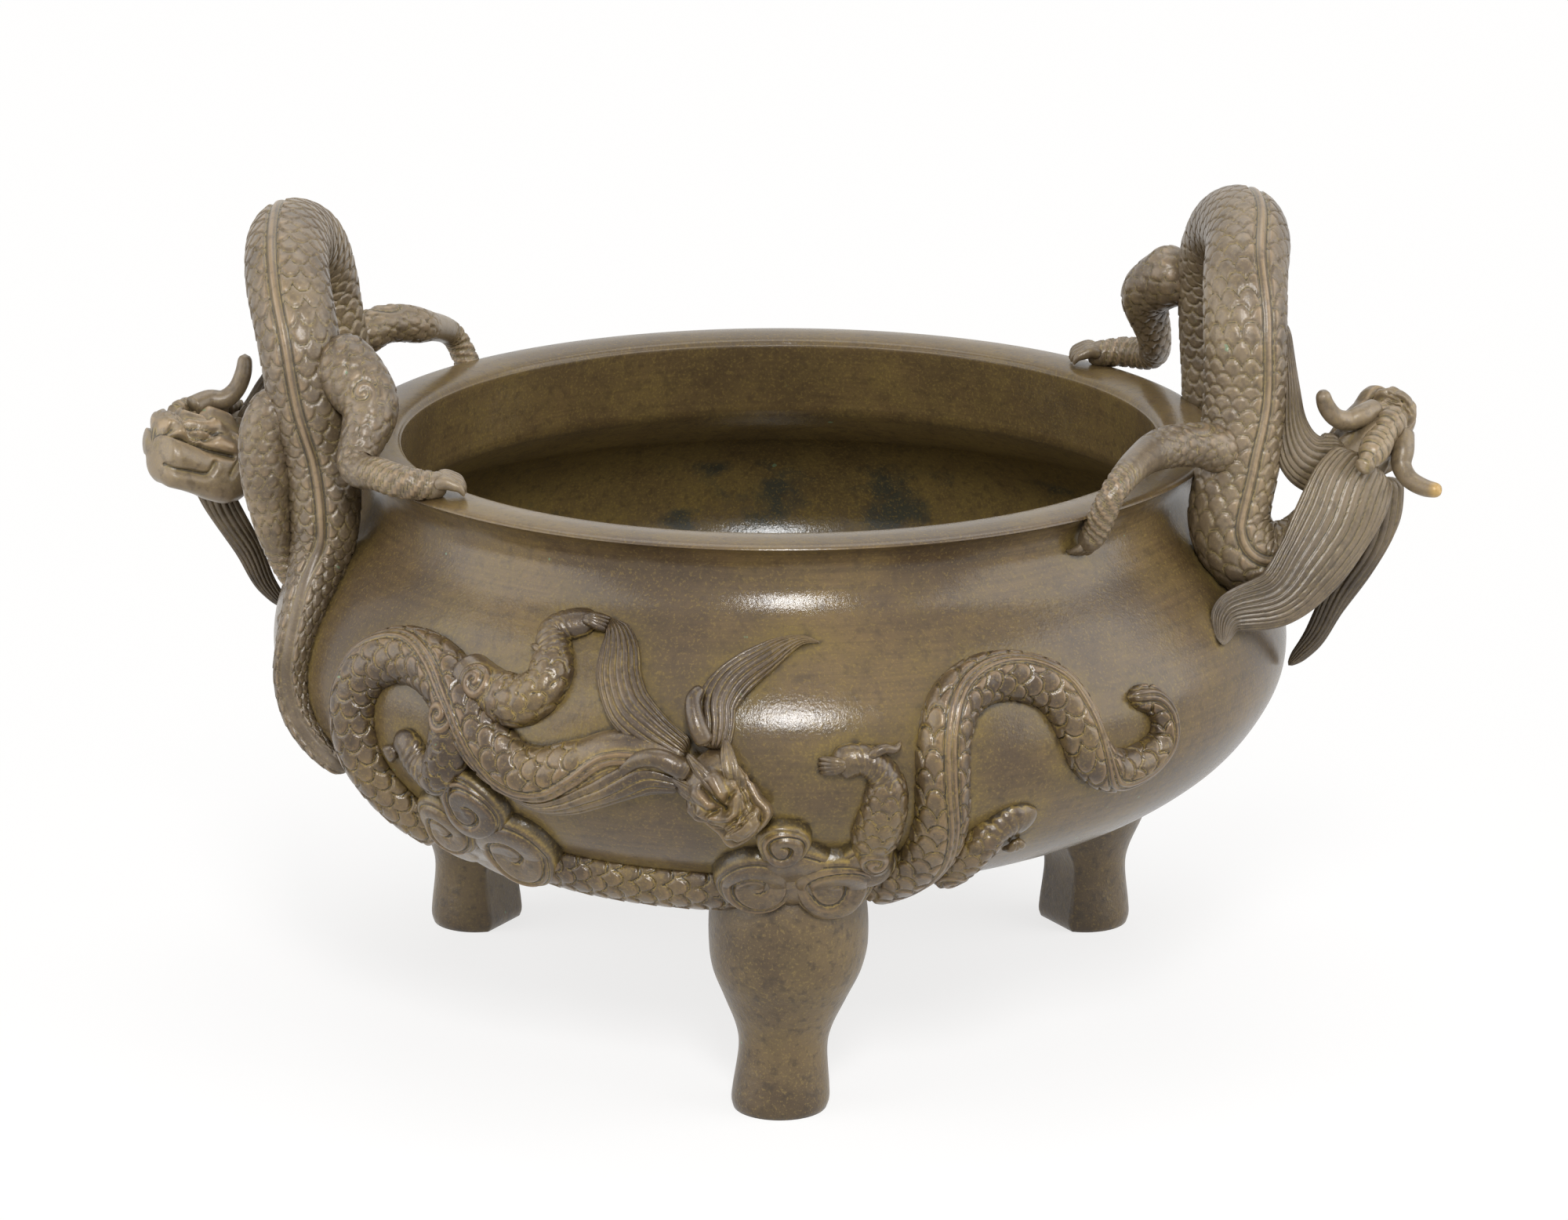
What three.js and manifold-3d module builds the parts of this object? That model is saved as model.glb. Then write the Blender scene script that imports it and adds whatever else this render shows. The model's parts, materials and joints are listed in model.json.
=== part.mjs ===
// Tripod censer: a round bronze bowl on three legs, with a dragon for each handle and a dragon in
// relief on the front and on the back of the belly.
// Millimetres. +Z is up, the soles stand on Z = 0, the front faces -Y and the right handle is at +X.
// Degrees round the bowl count from the front, towards +X.
import * as THREE from "three";
import Module from "manifold-3d";

const wasm = await Module();
wasm.setup();

// Clearances
const CASTING_GAP = 0.3;
const SEAT_GAP = 0.55;
const CUT_OVERRUN = 3;

// Bowl
const BELLY_RADIUS = 125;
const UNDERSIDE_LEVEL = 41.5;
const LOWER_WALL_HEIGHT = 49.5;
const SHOULDER_HEIGHT = 42;
const LIP_HEIGHT = 8.5;
const NECK_RADIUS = 101.8;
const LIP_OVERHANG = 5.2;
const LIP_WIDTH = 14;
const RIM_CROWN = 1.2;
const WALL_THICKNESS = 5;
const THROAT_DEPTH = 20;
const BOWL_SEGMENTS = 36;
const INNER_RINGS = 7;
const INNER_WALL_SHARE = 0.83;

const BELLY_LEVEL = UNDERSIDE_LEVEL + LOWER_WALL_HEIGHT;
const NECK_LEVEL = BELLY_LEVEL + SHOULDER_HEIGHT;
const RIM_LEVEL = NECK_LEVEL + LIP_HEIGHT;
const LIP_RADIUS = NECK_RADIUS + LIP_OVERHANG;
const MOUTH_RADIUS = LIP_RADIUS - LIP_WIDTH;

// Places of the outer rings, in shares of the wall from the centre of the underside to the lip
const OUTER_RING_SHARES = [
  0, 0.13, 0.25, 0.36, 0.45, 0.53, 0.61, 0.69, 0.77, 0.84, 0.885, 0.92, 0.955, 0.98,
];

// Outline of the wall: radius share and height share of each stretch
const LOWER_WALL_SHARES = [
  [0, 0],
  [0.3, 0.026],
  [0.54, 0.12],
  [0.747, 0.275],
  [0.893, 0.505],
  [0.974, 0.766],
  [1, 1],
];
const SHOULDER_SHARES = [
  [0.89, 0.31],
  [0.526, 0.595],
  [0.138, 0.82],
  [0, 1],
];
const LIP_SHARES = [
  [0.35, 0.7],
  [1, 1],
];
// Top of the rim. Each row: share from the mouth to the lip, share of the crown, then the shares of
// a clearance that move the point out and up.
const RIM_TOP_SHARES = [
  [1, 0, 2, 0],
  [0.85, 0.65, 0.7, 1],
  [0.5, 1, 0, 1],
  [0.12, 0.5, -0.8, 1],
  [0, -1, -1, 1],
];

// Legs
const LEG_NAMES = ["leg_front", "leg_right", "leg_left"];
const FRONT_HIP_OFFSET = 2;
const LEG_AXIS_RADIUS = 90.5;
const HIP_WIDTH = 37;
const HIP_LEVEL = 41;
const INNER_FACE_WIDTH = 15;
const LEG_SECTION_POINTS = 12;
// Height share of the hip level, width share of the hip width
const LEG_SHARES = [
  [0, 0.6],
  [0.05, 0.63],
  [0.13, 0.62],
  [0.36, 0.57],
  [0.5, 0.62],
  [0.68, 0.79],
  [0.86, 0.96],
  [1.05, 1.02],
  [1.3, 0.98],
  [1.55, 0.78],
];

// Dragon handles
const TRUNK_RADIUS = 9.7;
const HANDLE_SPAN = 70;
const HANDLE_REACH = 45;
const ARCH_RISE = 51;
const LEFT_LEAN = 6.5;
const RIGHT_HIND_LEAN = -8;
const LEFT_NECK_DROP = 11;
const TRUNK_STEPS = 23;
const TRUNK_SIDES = 10;
const LIMB_SIDES = 6;
const LIMB_STEPS = 8;

// Each row: out from the plane of the limbs, along the span, up from the rim, radius
const TRUNK_SHARES = [
  [0.51, -0.5, -0.2, 0.82],
  [0.31, -0.57, -0.38, 0.92],
  [0.07, -0.6, -0.4, 0.98],
  [-0.075, -0.6, -0.225, 1],
  [-0.03, -0.56, 0.07, 1],
  [0, -0.52, 0.36, 1],
  [0, -0.485, 0.66, 1.01],
  [0.01, -0.36, 0.875, 1.02],
  [0.045, -0.14, 0.985, 1.02],
  [0.045, 0.09, 0.985, 1.02],
  [0.03, 0.29, 0.89, 1.02],
  [0, 0.43, 0.68, 1],
  [-0.01, 0.47, 0.36, 0.98],
  [-0.02, 0.47, 0.07, 0.95],
  [-0.035, 0.5, -0.2, 0.88],
  [-0.01, 0.54, -0.4, 0.76],
];
// The tail lies on the wall. Each row: degrees, share of the wall, width and height shares of the trunk
const TAIL_SHARES = [
  [109.5, 0.888, 0.8, 0.66],
  [110.5, 0.85, 0.68, 0.58],
  [111.8, 0.8, 0.56, 0.48],
  [113, 0.76, 0.47, 0.4],
  [113.3, 0.72, 0.4, 0.37],
  [114.5, 0.68, 0.37, 0.34],
  [117, 0.645, 0.33, 0.29],
  [120.5, 0.62, 0.24, 0.2],
];
// Each row: out, along, up, radius share of the trunk
const RIGHT_FORELEG_SHARES = [
  [-0.06, -0.61, 0.11, 0.78],
  [-0.27, -0.7, 0.19, 0.66],
  [-0.51, -0.83, 0.2, 0.6],
];
const LEFT_FORELEG_SHARES = [
  [-0.1, -0.56, 0.27, 0.74],
  [-0.3, -0.64, 0.35, 0.62],
  [-0.48, -0.74, 0.31, 0.56],
];
const RIGHT_HINDLEG_SHARES = [
  [-0.14, 0.47, 0.68, 0.74],
  [-0.26, 0.52, 0.6, 0.78],
  [-0.38, 0.6, 0.48, 0.64],
  [-0.34, 0.73, 0.24, 0.42],
];
const LEFT_HINDLEG_SHARES = [
  [-0.12, 0.46, 0.62, 0.8],
  [-0.26, 0.52, 0.5, 0.86],
  [-0.35, 0.61, 0.35, 0.7],
  [-0.25, 0.74, 0.12, 0.43],
];
const OUTER_HINDLEG_SHARES = [
  [0.1, 0.47, 0.4, 0.7],
  [0.24, 0.48, 0.2, 0.76],
  [0.27, 0.5, -0.03, 0.76],
  [0.25, 0.52, -0.22, 0.56],
  [0.2, 0.53, -0.42, 0.44],
];
// Feet on the rim. Each row: degrees from the axis, share inwards over the rim, lift and radius
const FORE_WRIST_SHARES = [-44.5, -0.25, 0.62, 0.45];
const HIND_FOOT_SHARES = [
  [32.4, -0.35, 0.42, 0.45],
  [36.5, -0.14, 0.33, 0.44],
  [39.5, 0.42, 0.26, 0.34],
];
// Feet and locks on the wall. Each row: degrees from the axis, share of the wall, lift, radius
const FORE_CLAW_SHARES = [
  [-46.5, 0.985, 0.36, 0.46],
  [-47, 0.95, 0.2, 0.26],
];
const OUTER_FOOT_SHARES = [
  [17.5, 0.805, 0.38, 0.4],
  [17, 0.765, 0.18, 0.26],
];

// Heads of the handle dragons, in shares of the head's own length, height and width
const HEAD_LENGTH = 27;
const HEAD_HEIGHT = 20;
const HEAD_WIDTH = 15;
const HEAD_SECTION_POINTS = 8;
// Each row: forward, half width, top, bottom
const HEAD_SHARES = [
  [0, 0.42, 0.3, -0.62],
  [0.14, 0.5, 0.42, -0.8],
  [0.32, 0.55, 0.48, -0.86],
  [0.48, 0.54, 0.5, -0.84],
  [0.6, 0.47, 0.38, -0.8],
  [0.74, 0.43, 0.26, -0.76],
  [0.87, 0.45, 0.28, -0.72],
  [0.96, 0.4, 0.2, -0.62],
  [1, 0.26, 0.04, -0.42],
];
// Horn of one side. Each row: forward, sideways, up, radius share of the head width
const HORN_SHARES = [
  [0.56, 0.31, 0.36, 0.19],
  [0.42, 0.43, 0.44, 0.18],
  [0.3, 0.56, 0.41, 0.165],
  [0.22, 0.78, 0.47, 0.15],
  [0.2, 1.04, 0.6, 0.14],
  [0.22, 1.25, 0.76, 0.11],
];
const TOPKNOT_SHARES = [
  [0.68, 0, 0.4, 0.17],
  [0.44, 0, 0.53, 0.27],
  [0.2, 0, 0.63, 0.28],
  [0, 0, 0.76, 0.2],
];

// Locks of the mane. Each row: out, along, up, half width, half thickness
const LOCK_WIDTH = 13.2;
const ARCH_LOCK_SHARES = [
  [0.56, -0.51, 0.05, 0.5, 0.2],
  [0.42, -0.535, 0.035, 0.55, 0.2],
  [0.31, -0.55, 0.09, 0.48, 0.18],
  [0.25, -0.535, 0.22, 0.3, 0.15],
  [0.23, -0.515, 0.42, 0.19, 0.13],
  [0.215, -0.485, 0.7, 0.07, 0.07],
];
const INNER_LOCK_SHARES = [
  [0.66, -0.54, 0.06, 0.6, 0.23],
  [0.57, -0.6, -0.06, 0.78, 0.25],
  [0.46, -0.66, -0.22, 0.76, 0.24],
  [0.34, -0.72, -0.38, 0.66, 0.22],
  [0.17, -0.77, -0.52, 0.52, 0.18],
];
const INNER_LOCK_TIP_SHARES = [
  [-27.5, 0.805, 0.2, 0.36, 0.15],
  [-31, 0.78, 0.09, 0.12, 0.06],
];
const OUTER_LOCK_SHARES = [
  [0.78, -0.44, -0.06, 0.3, 0.19],
  [0.76, -0.42, -0.26, 0.34, 0.19],
  [0.66, -0.4, -0.48, 0.3, 0.17],
  [0.51, -0.385, -0.71, 0.24, 0.15],
  [0.41, -0.37, -0.89, 0.19, 0.12],
];
const OUTER_LOCK_TIP_SHARES = [[-11.5, 0.7, 0.12, 0.09, 0.08]];
const LOCK_FACING = new THREE.Vector3(0.3, -1, 0.2);

// Yaw, pitch and roll of a head, in shares of a right angle
const RIGHT_HEAD_TURN_SHARES = [0.524, 0.4, 0.573];
const LEFT_HEAD_TURN_SHARES = [0.347, 0.204, 0.594];
const FORE_FOOT_SHIFT_DEGREES = 4;

// The two handles: the left one leans out a little more and holds its head lower
const HANDLES = [
  {
    name: "right",
    lean: 0,
    hindLean: RIGHT_HIND_LEAN,
    foreFootDegrees: 0,
    riseShare: 1,
    neckDrop: 0,
    forelegShares: RIGHT_FORELEG_SHARES,
    hindlegShares: RIGHT_HINDLEG_SHARES,
    headBaseShares: [0.541, -0.484, -0.044],
    headTurnShares: RIGHT_HEAD_TURN_SHARES,
  },
  {
    name: "left",
    lean: LEFT_LEAN,
    hindLean: 0,
    foreFootDegrees: FORE_FOOT_SHIFT_DEGREES,
    riseShare: 0.92,
    neckDrop: LEFT_NECK_DROP,
    forelegShares: LEFT_FORELEG_SHARES,
    hindlegShares: LEFT_HINDLEG_SHARES,
    headBaseShares: [0.532, -0.473, -0.265],
    headTurnShares: LEFT_HEAD_TURN_SHARES,
  },
];

// Dragons in relief
const RELIEF_WIDTH = 12.5;
const RELIEF_HEIGHT = 6;
const RELIEF_SIDES = ["front", "back"];
const FORE_BODY_STEPS = 22;
const LOWER_BODY_STEPS = 6;
const HIND_BODY_STEPS = 24;
// Routes on the wall. Each row: degrees, share of the wall, width share, height share
const FORE_BODY_SHARES = [
  [-9.5, 0.735, 0.8, 0.8],
  [-14, 0.738, 0.86, 0.9],
  [-18, 0.732, 0.9, 1],
  [-22, 0.713, 0.92, 1],
  [-25.5, 0.7, 0.94, 1],
  [-29, 0.702, 0.96, 1],
  [-32.5, 0.725, 1, 1],
  [-36.5, 0.763, 1, 1],
  [-41, 0.793, 1, 1],
  [-46, 0.8, 1, 1],
  [-50.5, 0.782, 1, 1],
  [-52.7, 0.745, 1, 1],
  [-52.8, 0.7, 1, 1],
  [-51.8, 0.65, 1, 1],
  [-49.5, 0.6, 1.02, 1],
  [-46, 0.557, 1.05, 0.95],
];
const LOWER_BODY_SHARES = [
  [-33, 0.54, 1.1, 0.85],
  [-26, 0.52, 1.14, 0.95],
  [-18, 0.51, 1.14, 1],
  [-10, 0.505, 1.12, 1],
  [-5, 0.5, 1.1, 0.9],
];
const HIND_BODY_SHARES = [
  [12.5, 0.5, 1.04, 0.9],
  [15.5, 0.55, 1, 1],
  [17.3, 0.6, 0.96, 1],
  [17.6, 0.65, 0.94, 1],
  [17.3, 0.7, 0.92, 1],
  [17.6, 0.75, 0.9, 1],
  [19.4, 0.79, 0.88, 1],
  [22.8, 0.81, 0.86, 1],
  [27, 0.81, 0.84, 1],
  [31, 0.79, 0.82, 1],
  [33.2, 0.75, 0.8, 1],
  [34.7, 0.71, 0.76, 0.95],
  [38, 0.684, 0.7, 0.9],
  [42, 0.685, 0.62, 0.85],
  [45, 0.702, 0.54, 0.75],
  [45.5, 0.73, 0.46, 0.65],
  [44, 0.752, 0.36, 0.55],
  [40.8, 0.762, 0.2, 0.35],
];
const FORELEG_UPPER_SHARES = [
  [-37.5, 0.8, 0.76, 1.02],
  [-33.3, 0.789, 0.78, 1],
  [-29.4, 0.786, 0.72, 0.95],
  [-27, 0.806, 0.6, 0.85],
  [-27.3, 0.838, 0.5, 0.75],
  [-28, 0.866, 0.46, 0.65],
  [-26, 0.88, 0.56, 0.55],
  [-22.8, 0.885, 0.4, 0.4],
];
const FORELEG_LOWER_SHARES = [
  [-39.2, 0.765, 0.6, 0.9],
  [-38.2, 0.74, 0.62, 0.9],
  [-38, 0.71, 0.6, 0.85],
  [-39, 0.68, 0.56, 0.8],
  [-41.5, 0.67, 0.52, 0.7],
  [-44, 0.676, 0.56, 0.6],
  [-47, 0.662, 0.36, 0.4],
];
const RELIEF_FORELEGS = {
  foreleg_upper: FORELEG_UPPER_SHARES,
  foreleg_lower: FORELEG_LOWER_SHARES,
};
const HINDLEG_UPPER_SHARES = [
  [12.4, 0.58, 0.6, 0.8],
  [10.9, 0.61, 0.68, 0.85],
  [10.9, 0.64, 0.7, 0.9],
  [11.3, 0.675, 0.6, 0.85],
  [10.6, 0.705, 0.5, 0.75],
  [8.6, 0.726, 0.5, 0.65],
  [5.4, 0.724, 0.6, 0.5],
  [3.4, 0.716, 0.3, 0.35],
];
const HINDLEG_LOWER_SHARES = [
  [20, 0.53, 0.7, 0.8],
  [22, 0.57, 0.68, 0.85],
  [23.6, 0.605, 0.6, 0.8],
  [25.6, 0.63, 0.5, 0.7],
  [28.4, 0.622, 0.56, 0.55],
  [31.6, 0.598, 0.34, 0.4],
];
const RELIEF_HINDLEGS = {
  hindleg_upper: HINDLEG_UPPER_SHARES,
  hindleg_lower: HINDLEG_LOWER_SHARES,
};
const LOCK_UPPER_SHARES = [
  [-10, 0.748, 0.4, 0.6],
  [-14, 0.771, 0.62, 0.6],
  [-17, 0.795, 0.68, 0.58],
  [-18.8, 0.825, 0.62, 0.52],
  [-19.4, 0.855, 0.46, 0.45],
  [-22, 0.893, 0.14, 0.25],
];
const LOCK_MIDDLE_SHARES = [
  [-6.3, 0.748, 0.4, 0.6],
  [-6.6, 0.775, 0.56, 0.6],
  [-6.1, 0.802, 0.58, 0.56],
  [-4.2, 0.828, 0.52, 0.5],
  [-1.8, 0.853, 0.42, 0.45],
  [1, 0.87, 0.28, 0.35],
  [4.6, 0.871, 0.12, 0.22],
];
const LOCK_LOWER_SHARES = [
  [-10.4, 0.705, 0.4, 0.6],
  [-14.5, 0.7, 0.5, 0.6],
  [-18.6, 0.684, 0.52, 0.55],
  [-22.8, 0.662, 0.5, 0.5],
  [-27, 0.654, 0.4, 0.42],
  [-30.4, 0.662, 0.26, 0.34],
  [-32.6, 0.676, 0.12, 0.24],
];
const RELIEF_LOCKS = {
  lock_upper: LOCK_UPPER_SHARES,
  lock_middle: LOCK_MIDDLE_SHARES,
  lock_lower: LOCK_LOWER_SHARES,
};
const HORN_OUTER_SHARES = [
  [-10, 0.722, 0.2, 1.1],
  [-12.6, 0.727, 0.24, 1.35],
  [-14.9, 0.718, 0.24, 1.35],
  [-16.5, 0.706, 0.2, 1.2],
];
const HORN_INNER_SHARES = [
  [-8, 0.746, 0.22, 1.1],
  [-9.5, 0.768, 0.26, 1.25],
  [-9.7, 0.792, 0.26, 1.2],
  [-8.5, 0.808, 0.2, 1],
];
const RELIEF_HORNS = {
  horn_outer: HORN_OUTER_SHARES,
  horn_inner: HORN_INNER_SHARES,
};
const RELIEF_HEAD_LENGTH = 22;
const RELIEF_HEAD_HEIGHT = 13;
const RELIEF_HEAD_WIDTH = 13;
const RELIEF_HEAD_REAR_SHARES = [-9, 0.73];
const RELIEF_HEAD_SNOUT_SHARES = [-3.2, 0.653];
const RELIEF_HEAD_LIFT_SHARE = 0.28;

// Clouds. Each row: degrees, share of the wall, radius share of the cloud size, height share
const CLOUD_RADIUS = 13;
const CLOUD_HEIGHT = 5;
const CLOUD_BOSS_POINTS = 8;
const CLOUD_LEFT_SHARES = [
  [-49.4, 0.525, 0.96, 1],
  [-42.6, 0.555, 0.86, 0.8],
  [-37, 0.612, 1.06, 1],
  [-38.2, 0.505, 1.06, 1],
];
const CLOUD_FRONT_SHARES = [
  [1, 0.594, 0.9, 1],
  [-2.4, 0.5, 1, 1],
  [6.8, 0.508, 1.1, 1],
];
const CLOUDS = {
  cloud_left: CLOUD_LEFT_SHARES,
  cloud_front: CLOUD_FRONT_SHARES,
};
// Rings of one boss: share of its radius, share of its height
const BOSS_SHARES = [
  [1, 0.45],
  [0.62, 1],
];

const up = new THREE.Vector3(0, 0, 1);

// The outer wall runs from the centre of the underside to the lip
function wallOutline() {
  const lower = LOWER_WALL_SHARES.map(
    ([radius, height]) =>
      new THREE.Vector2(
        radius * BELLY_RADIUS,
        UNDERSIDE_LEVEL + height * (BELLY_LEVEL - UNDERSIDE_LEVEL),
      ),
  );
  const shoulder = SHOULDER_SHARES.map(
    ([radius, height]) =>
      new THREE.Vector2(
        NECK_RADIUS + radius * (BELLY_RADIUS - NECK_RADIUS),
        BELLY_LEVEL + height * (NECK_LEVEL - BELLY_LEVEL),
      ),
  );
  const lip = LIP_SHARES.map(
    ([radius, height]) =>
      new THREE.Vector2(
        NECK_RADIUS + radius * (LIP_RADIUS - NECK_RADIUS),
        NECK_LEVEL + height * (RIM_LEVEL - NECK_LEVEL),
      ),
  );
  return new THREE.SplineCurve([...lower, ...shoulder, ...lip]);
}

const wall = wallOutline();
wall.arcLengthDivisions = 600;
const wallLength = wall.getLength();

// Radius and height of the wall at a share of its length, moved off along its outward normal
function wallAt(share, lift = 0) {
  const inside = THREE.MathUtils.clamp(share, 0, 1);
  const point = wall.getPointAt(inside);
  const along = wall.getTangentAt(inside);
  return point.add(new THREE.Vector2(along.y, -along.x).multiplyScalar(lift));
}

function round(degrees, radius, height) {
  const turn = THREE.MathUtils.degToRad(degrees);
  return new THREE.Vector3(radius * Math.sin(turn), -radius * Math.cos(turn), height);
}

function onWall(degrees, share, lift = 0) {
  const place = wallAt(share, lift);
  return round(degrees, place.x, place.y);
}

function wallNormal(degrees, share) {
  return onWall(degrees, share, 1).sub(onWall(degrees, share)).normalize();
}

// Solids
function solidOf(points, triangles) {
  let volume = 0;
  for (const [a, b, c] of triangles) {
    volume += points[a].dot(points[b].clone().cross(points[c]));
  }
  const facing = volume < 0 ? triangles.map(([a, b, c]) => [a, c, b]) : triangles;
  return new wasm.Manifold(
    new wasm.Mesh({
      numProp: 3,
      vertProperties: new Float32Array(points.flatMap((p) => p.toArray())),
      triVerts: new Uint32Array(facing.flat()),
    }),
  );
}

// A closed skin over rings of equal count, with a fan over each end
function loft(rings) {
  const count = rings[0].length;
  const points = rings.flat();
  const triangles = [];
  for (let row = 0; row < rings.length - 1; row += 1) {
    for (let k = 0; k < count; k += 1) {
      const a = row * count + k;
      const b = row * count + ((k + 1) % count);
      triangles.push([a, b, b + count], [a, b + count, a + count]);
    }
  }
  for (const [row, flip] of [[0, true], [rings.length - 1, false]]) {
    const centre = rings[row].reduce((sum, p) => sum.add(p), new THREE.Vector3());
    points.push(centre.divideScalar(count));
    const hub = points.length - 1;
    for (let k = 0; k < count; k += 1) {
      const a = row * count + k;
      const b = row * count + ((k + 1) % count);
      triangles.push(flip ? [b, a, hub] : [a, b, hub]);
    }
  }
  return solidOf(points, triangles);
}

function largestBody(solid) {
  const bodies = solid.decompose();
  return bodies.reduce((best, body) => (body.volume() > best.volume() ? body : best));
}

function cutBy(solid, cutters) {
  return largestBody(cutters.reduce((left, cutter) => left.subtract(cutter), solid));
}

function turned(solid, degrees) {
  return solid.rotate([0, 0, degrees]);
}

// Values of a table's columns between its rows, on a smooth curve
function columnsAt(rows, share) {
  const place = share * (rows.length - 1);
  const from = Math.min(Math.floor(place), rows.length - 2);
  const part = place - from;
  const row = (k) => rows[THREE.MathUtils.clamp(k, 0, rows.length - 1)];
  return rows[0].map((_, column) => {
    const [p0, p1, p2, p3] = [-1, 0, 1, 2].map((k) => row(from + k)[column]);
    const bend = (2 * p1 - 2 * p2 + (p2 - p0) / 2 + (p3 - p1) / 2) * part ** 3;
    const ease = (3 * p2 - 3 * p1 - (p2 - p0) - (p3 - p1) / 2) * part ** 2;
    return bend + ease + ((p2 - p0) / 2) * part + p1;
  });
}

// A round or flattened limb. Each station holds a centre, a half width and a half thickness.
function limb(stations, { sides, steps, facing = null, grow = 0 }) {
  const rows = stations.map(({ centre, width, thickness }) => [
    ...centre.toArray(),
    width,
    thickness,
  ]);
  const places = Array.from({ length: steps + 1 }, (_, k) => columnsAt(rows, k / steps));
  const centres = places.map(([x, y, z]) => new THREE.Vector3(x, y, z));
  const tangents = centres.map((_, k) =>
    centres[Math.min(k + 1, steps)].clone().sub(centres[Math.max(k - 1, 0)]).normalize(),
  );
  let side = new THREE.Vector3(1, 0, 0);
  if (Math.abs(tangents[0].x) > 0.8) side = new THREE.Vector3(0, 0, 1);
  const rings = centres.map((centre, k) => {
    if (facing) side = facing.clone();
    side.addScaledVector(tangents[k], -side.dot(tangents[k])).normalize();
    const across = tangents[k].clone().cross(side);
    const [, , , width, thickness] = places[k];
    const end = (k === steps ? grow : 0) - (k === 0 ? grow : 0);
    return Array.from({ length: sides }, (_unused, corner) => {
      const angle = (corner / sides) * 2 * Math.PI;
      return centre
        .clone()
        .addScaledVector(tangents[k], end)
        .addScaledVector(across, (width + grow) * Math.cos(angle))
        .addScaledVector(side, (thickness + grow) * Math.sin(angle));
    });
  });
  return loft(rings);
}

// Bowl
function bowlProfile(grow = 0) {
  const outer = OUTER_RING_SHARES.map((share) => wallAt(share, grow));
  outer[0].x = 0;
  return outer;
}

function rimTop(grow = 0) {
  return RIM_TOP_SHARES.map(
    ([radius, height, moveOut, moveUp]) =>
      new THREE.Vector2(
        MOUTH_RADIUS + radius * (LIP_RADIUS - MOUTH_RADIUS) + moveOut * grow,
        RIM_LEVEL + height * RIM_CROWN + moveUp * grow,
      ),
  );
}

function bowlInside(grow = 0) {
  const floor = Array.from({ length: INNER_RINGS + 1 }, (_, k) =>
    wallAt((INNER_WALL_SHARE * k) / INNER_RINGS, -WALL_THICKNESS - grow),
  );
  floor[0].x = 0;
  const throat = new THREE.Vector2(MOUTH_RADIUS + RIM_CROWN - grow, RIM_LEVEL - THROAT_DEPTH);
  return [throat, ...floor.reverse()];
}

function revolve(profile) {
  const seam = profile.length;
  const points = [];
  const triangles = [];
  for (let turn = 0; turn < BOWL_SEGMENTS; turn += 1) {
    for (const { x, y } of profile) points.push(round((360 * turn) / BOWL_SEGMENTS, x, y));
  }
  // The two ends of the profile lie on the axis, so each becomes one shared point
  const pole = (index, row) => (row === 0 || row === seam - 1 ? row : index);
  for (let turn = 0; turn < BOWL_SEGMENTS; turn += 1) {
    const next = (turn + 1) % BOWL_SEGMENTS;
    for (let row = 0; row < seam - 1; row += 1) {
      const a = pole(turn * seam + row, row);
      const b = pole(turn * seam + row + 1, row + 1);
      const c = pole(next * seam + row + 1, row + 1);
      const d = pole(next * seam + row, row);
      if (b !== c) triangles.push([a, b, c]);
      if (a !== d) triangles.push([a, c, d]);
    }
  }
  const used = [...new Set(triangles.flat())];
  const numbers = new Map(used.map((old, k) => [old, k]));
  return solidOf(
    used.map((k) => points[k]),
    triangles.map((corners) => corners.map((k) => numbers.get(k))),
  );
}

const bowl = revolve([...bowlProfile(), ...rimTop(), ...bowlInside()]);
const bowlCutter = revolve([
  ...bowlProfile(CASTING_GAP),
  ...rimTop(CASTING_GAP),
  ...bowlInside(CASTING_GAP),
]);

// Legs: round outside, with a flat inner face
function leg(degrees, hipOffset, cutters) {
  const rings = LEG_SHARES.map(([height, width]) => {
    const radius = (width * HIP_WIDTH) / 2;
    const gape = Math.asin(INNER_FACE_WIDTH / 2 / radius);
    return Array.from({ length: LEG_SECTION_POINTS }, (_, k) => {
      const share = k / (LEG_SECTION_POINTS - 1);
      const angle = THREE.MathUtils.lerp(gape - Math.PI, Math.PI - gape, share);
      return new THREE.Vector3(
        radius * Math.sin(angle) + hipOffset * Math.min(height, 1),
        -LEG_AXIS_RADIUS - radius * Math.cos(angle),
        height * HIP_LEVEL,
      );
    });
  });
  return cutBy(turned(loft(rings), degrees), [bowlCutter, ...cutters]);
}

// Head: its own frame looks along `forward`, with `crown` up and `aside` to its right
function headFrame(rear, forward, crown) {
  const aside = forward.clone().cross(crown).normalize();
  return { rear, forward, aside, crown: aside.clone().cross(forward).normalize() };
}

function inHead(frame, sizes, [ahead, sideways, height]) {
  return frame.rear
    .clone()
    .addScaledVector(frame.forward, ahead * sizes.length)
    .addScaledVector(frame.aside, sideways * sizes.width)
    .addScaledVector(frame.crown, height * sizes.height);
}

function headSolid(frame, sizes, grow = 0) {
  const last = HEAD_SHARES.length - 1;
  const rings = HEAD_SHARES.map(([ahead, half, top, bottom], row) => {
    const end = (row === last ? grow : 0) - (row === 0 ? grow : 0);
    const middle = (top + bottom) / 2;
    return Array.from({ length: HEAD_SECTION_POINTS }, (_, k) => {
      const angle = (k / HEAD_SECTION_POINTS) * 2 * Math.PI;
      const sideways = half * Math.cos(angle);
      const height = middle + ((top - bottom) / 2) * Math.sin(angle);
      return inHead(frame, sizes, [ahead, sideways, height])
        .addScaledVector(frame.forward, end)
        .addScaledVector(frame.aside, grow * Math.cos(angle))
        .addScaledVector(frame.crown, grow * Math.sin(angle));
    });
  });
  return loft(rings);
}

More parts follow.
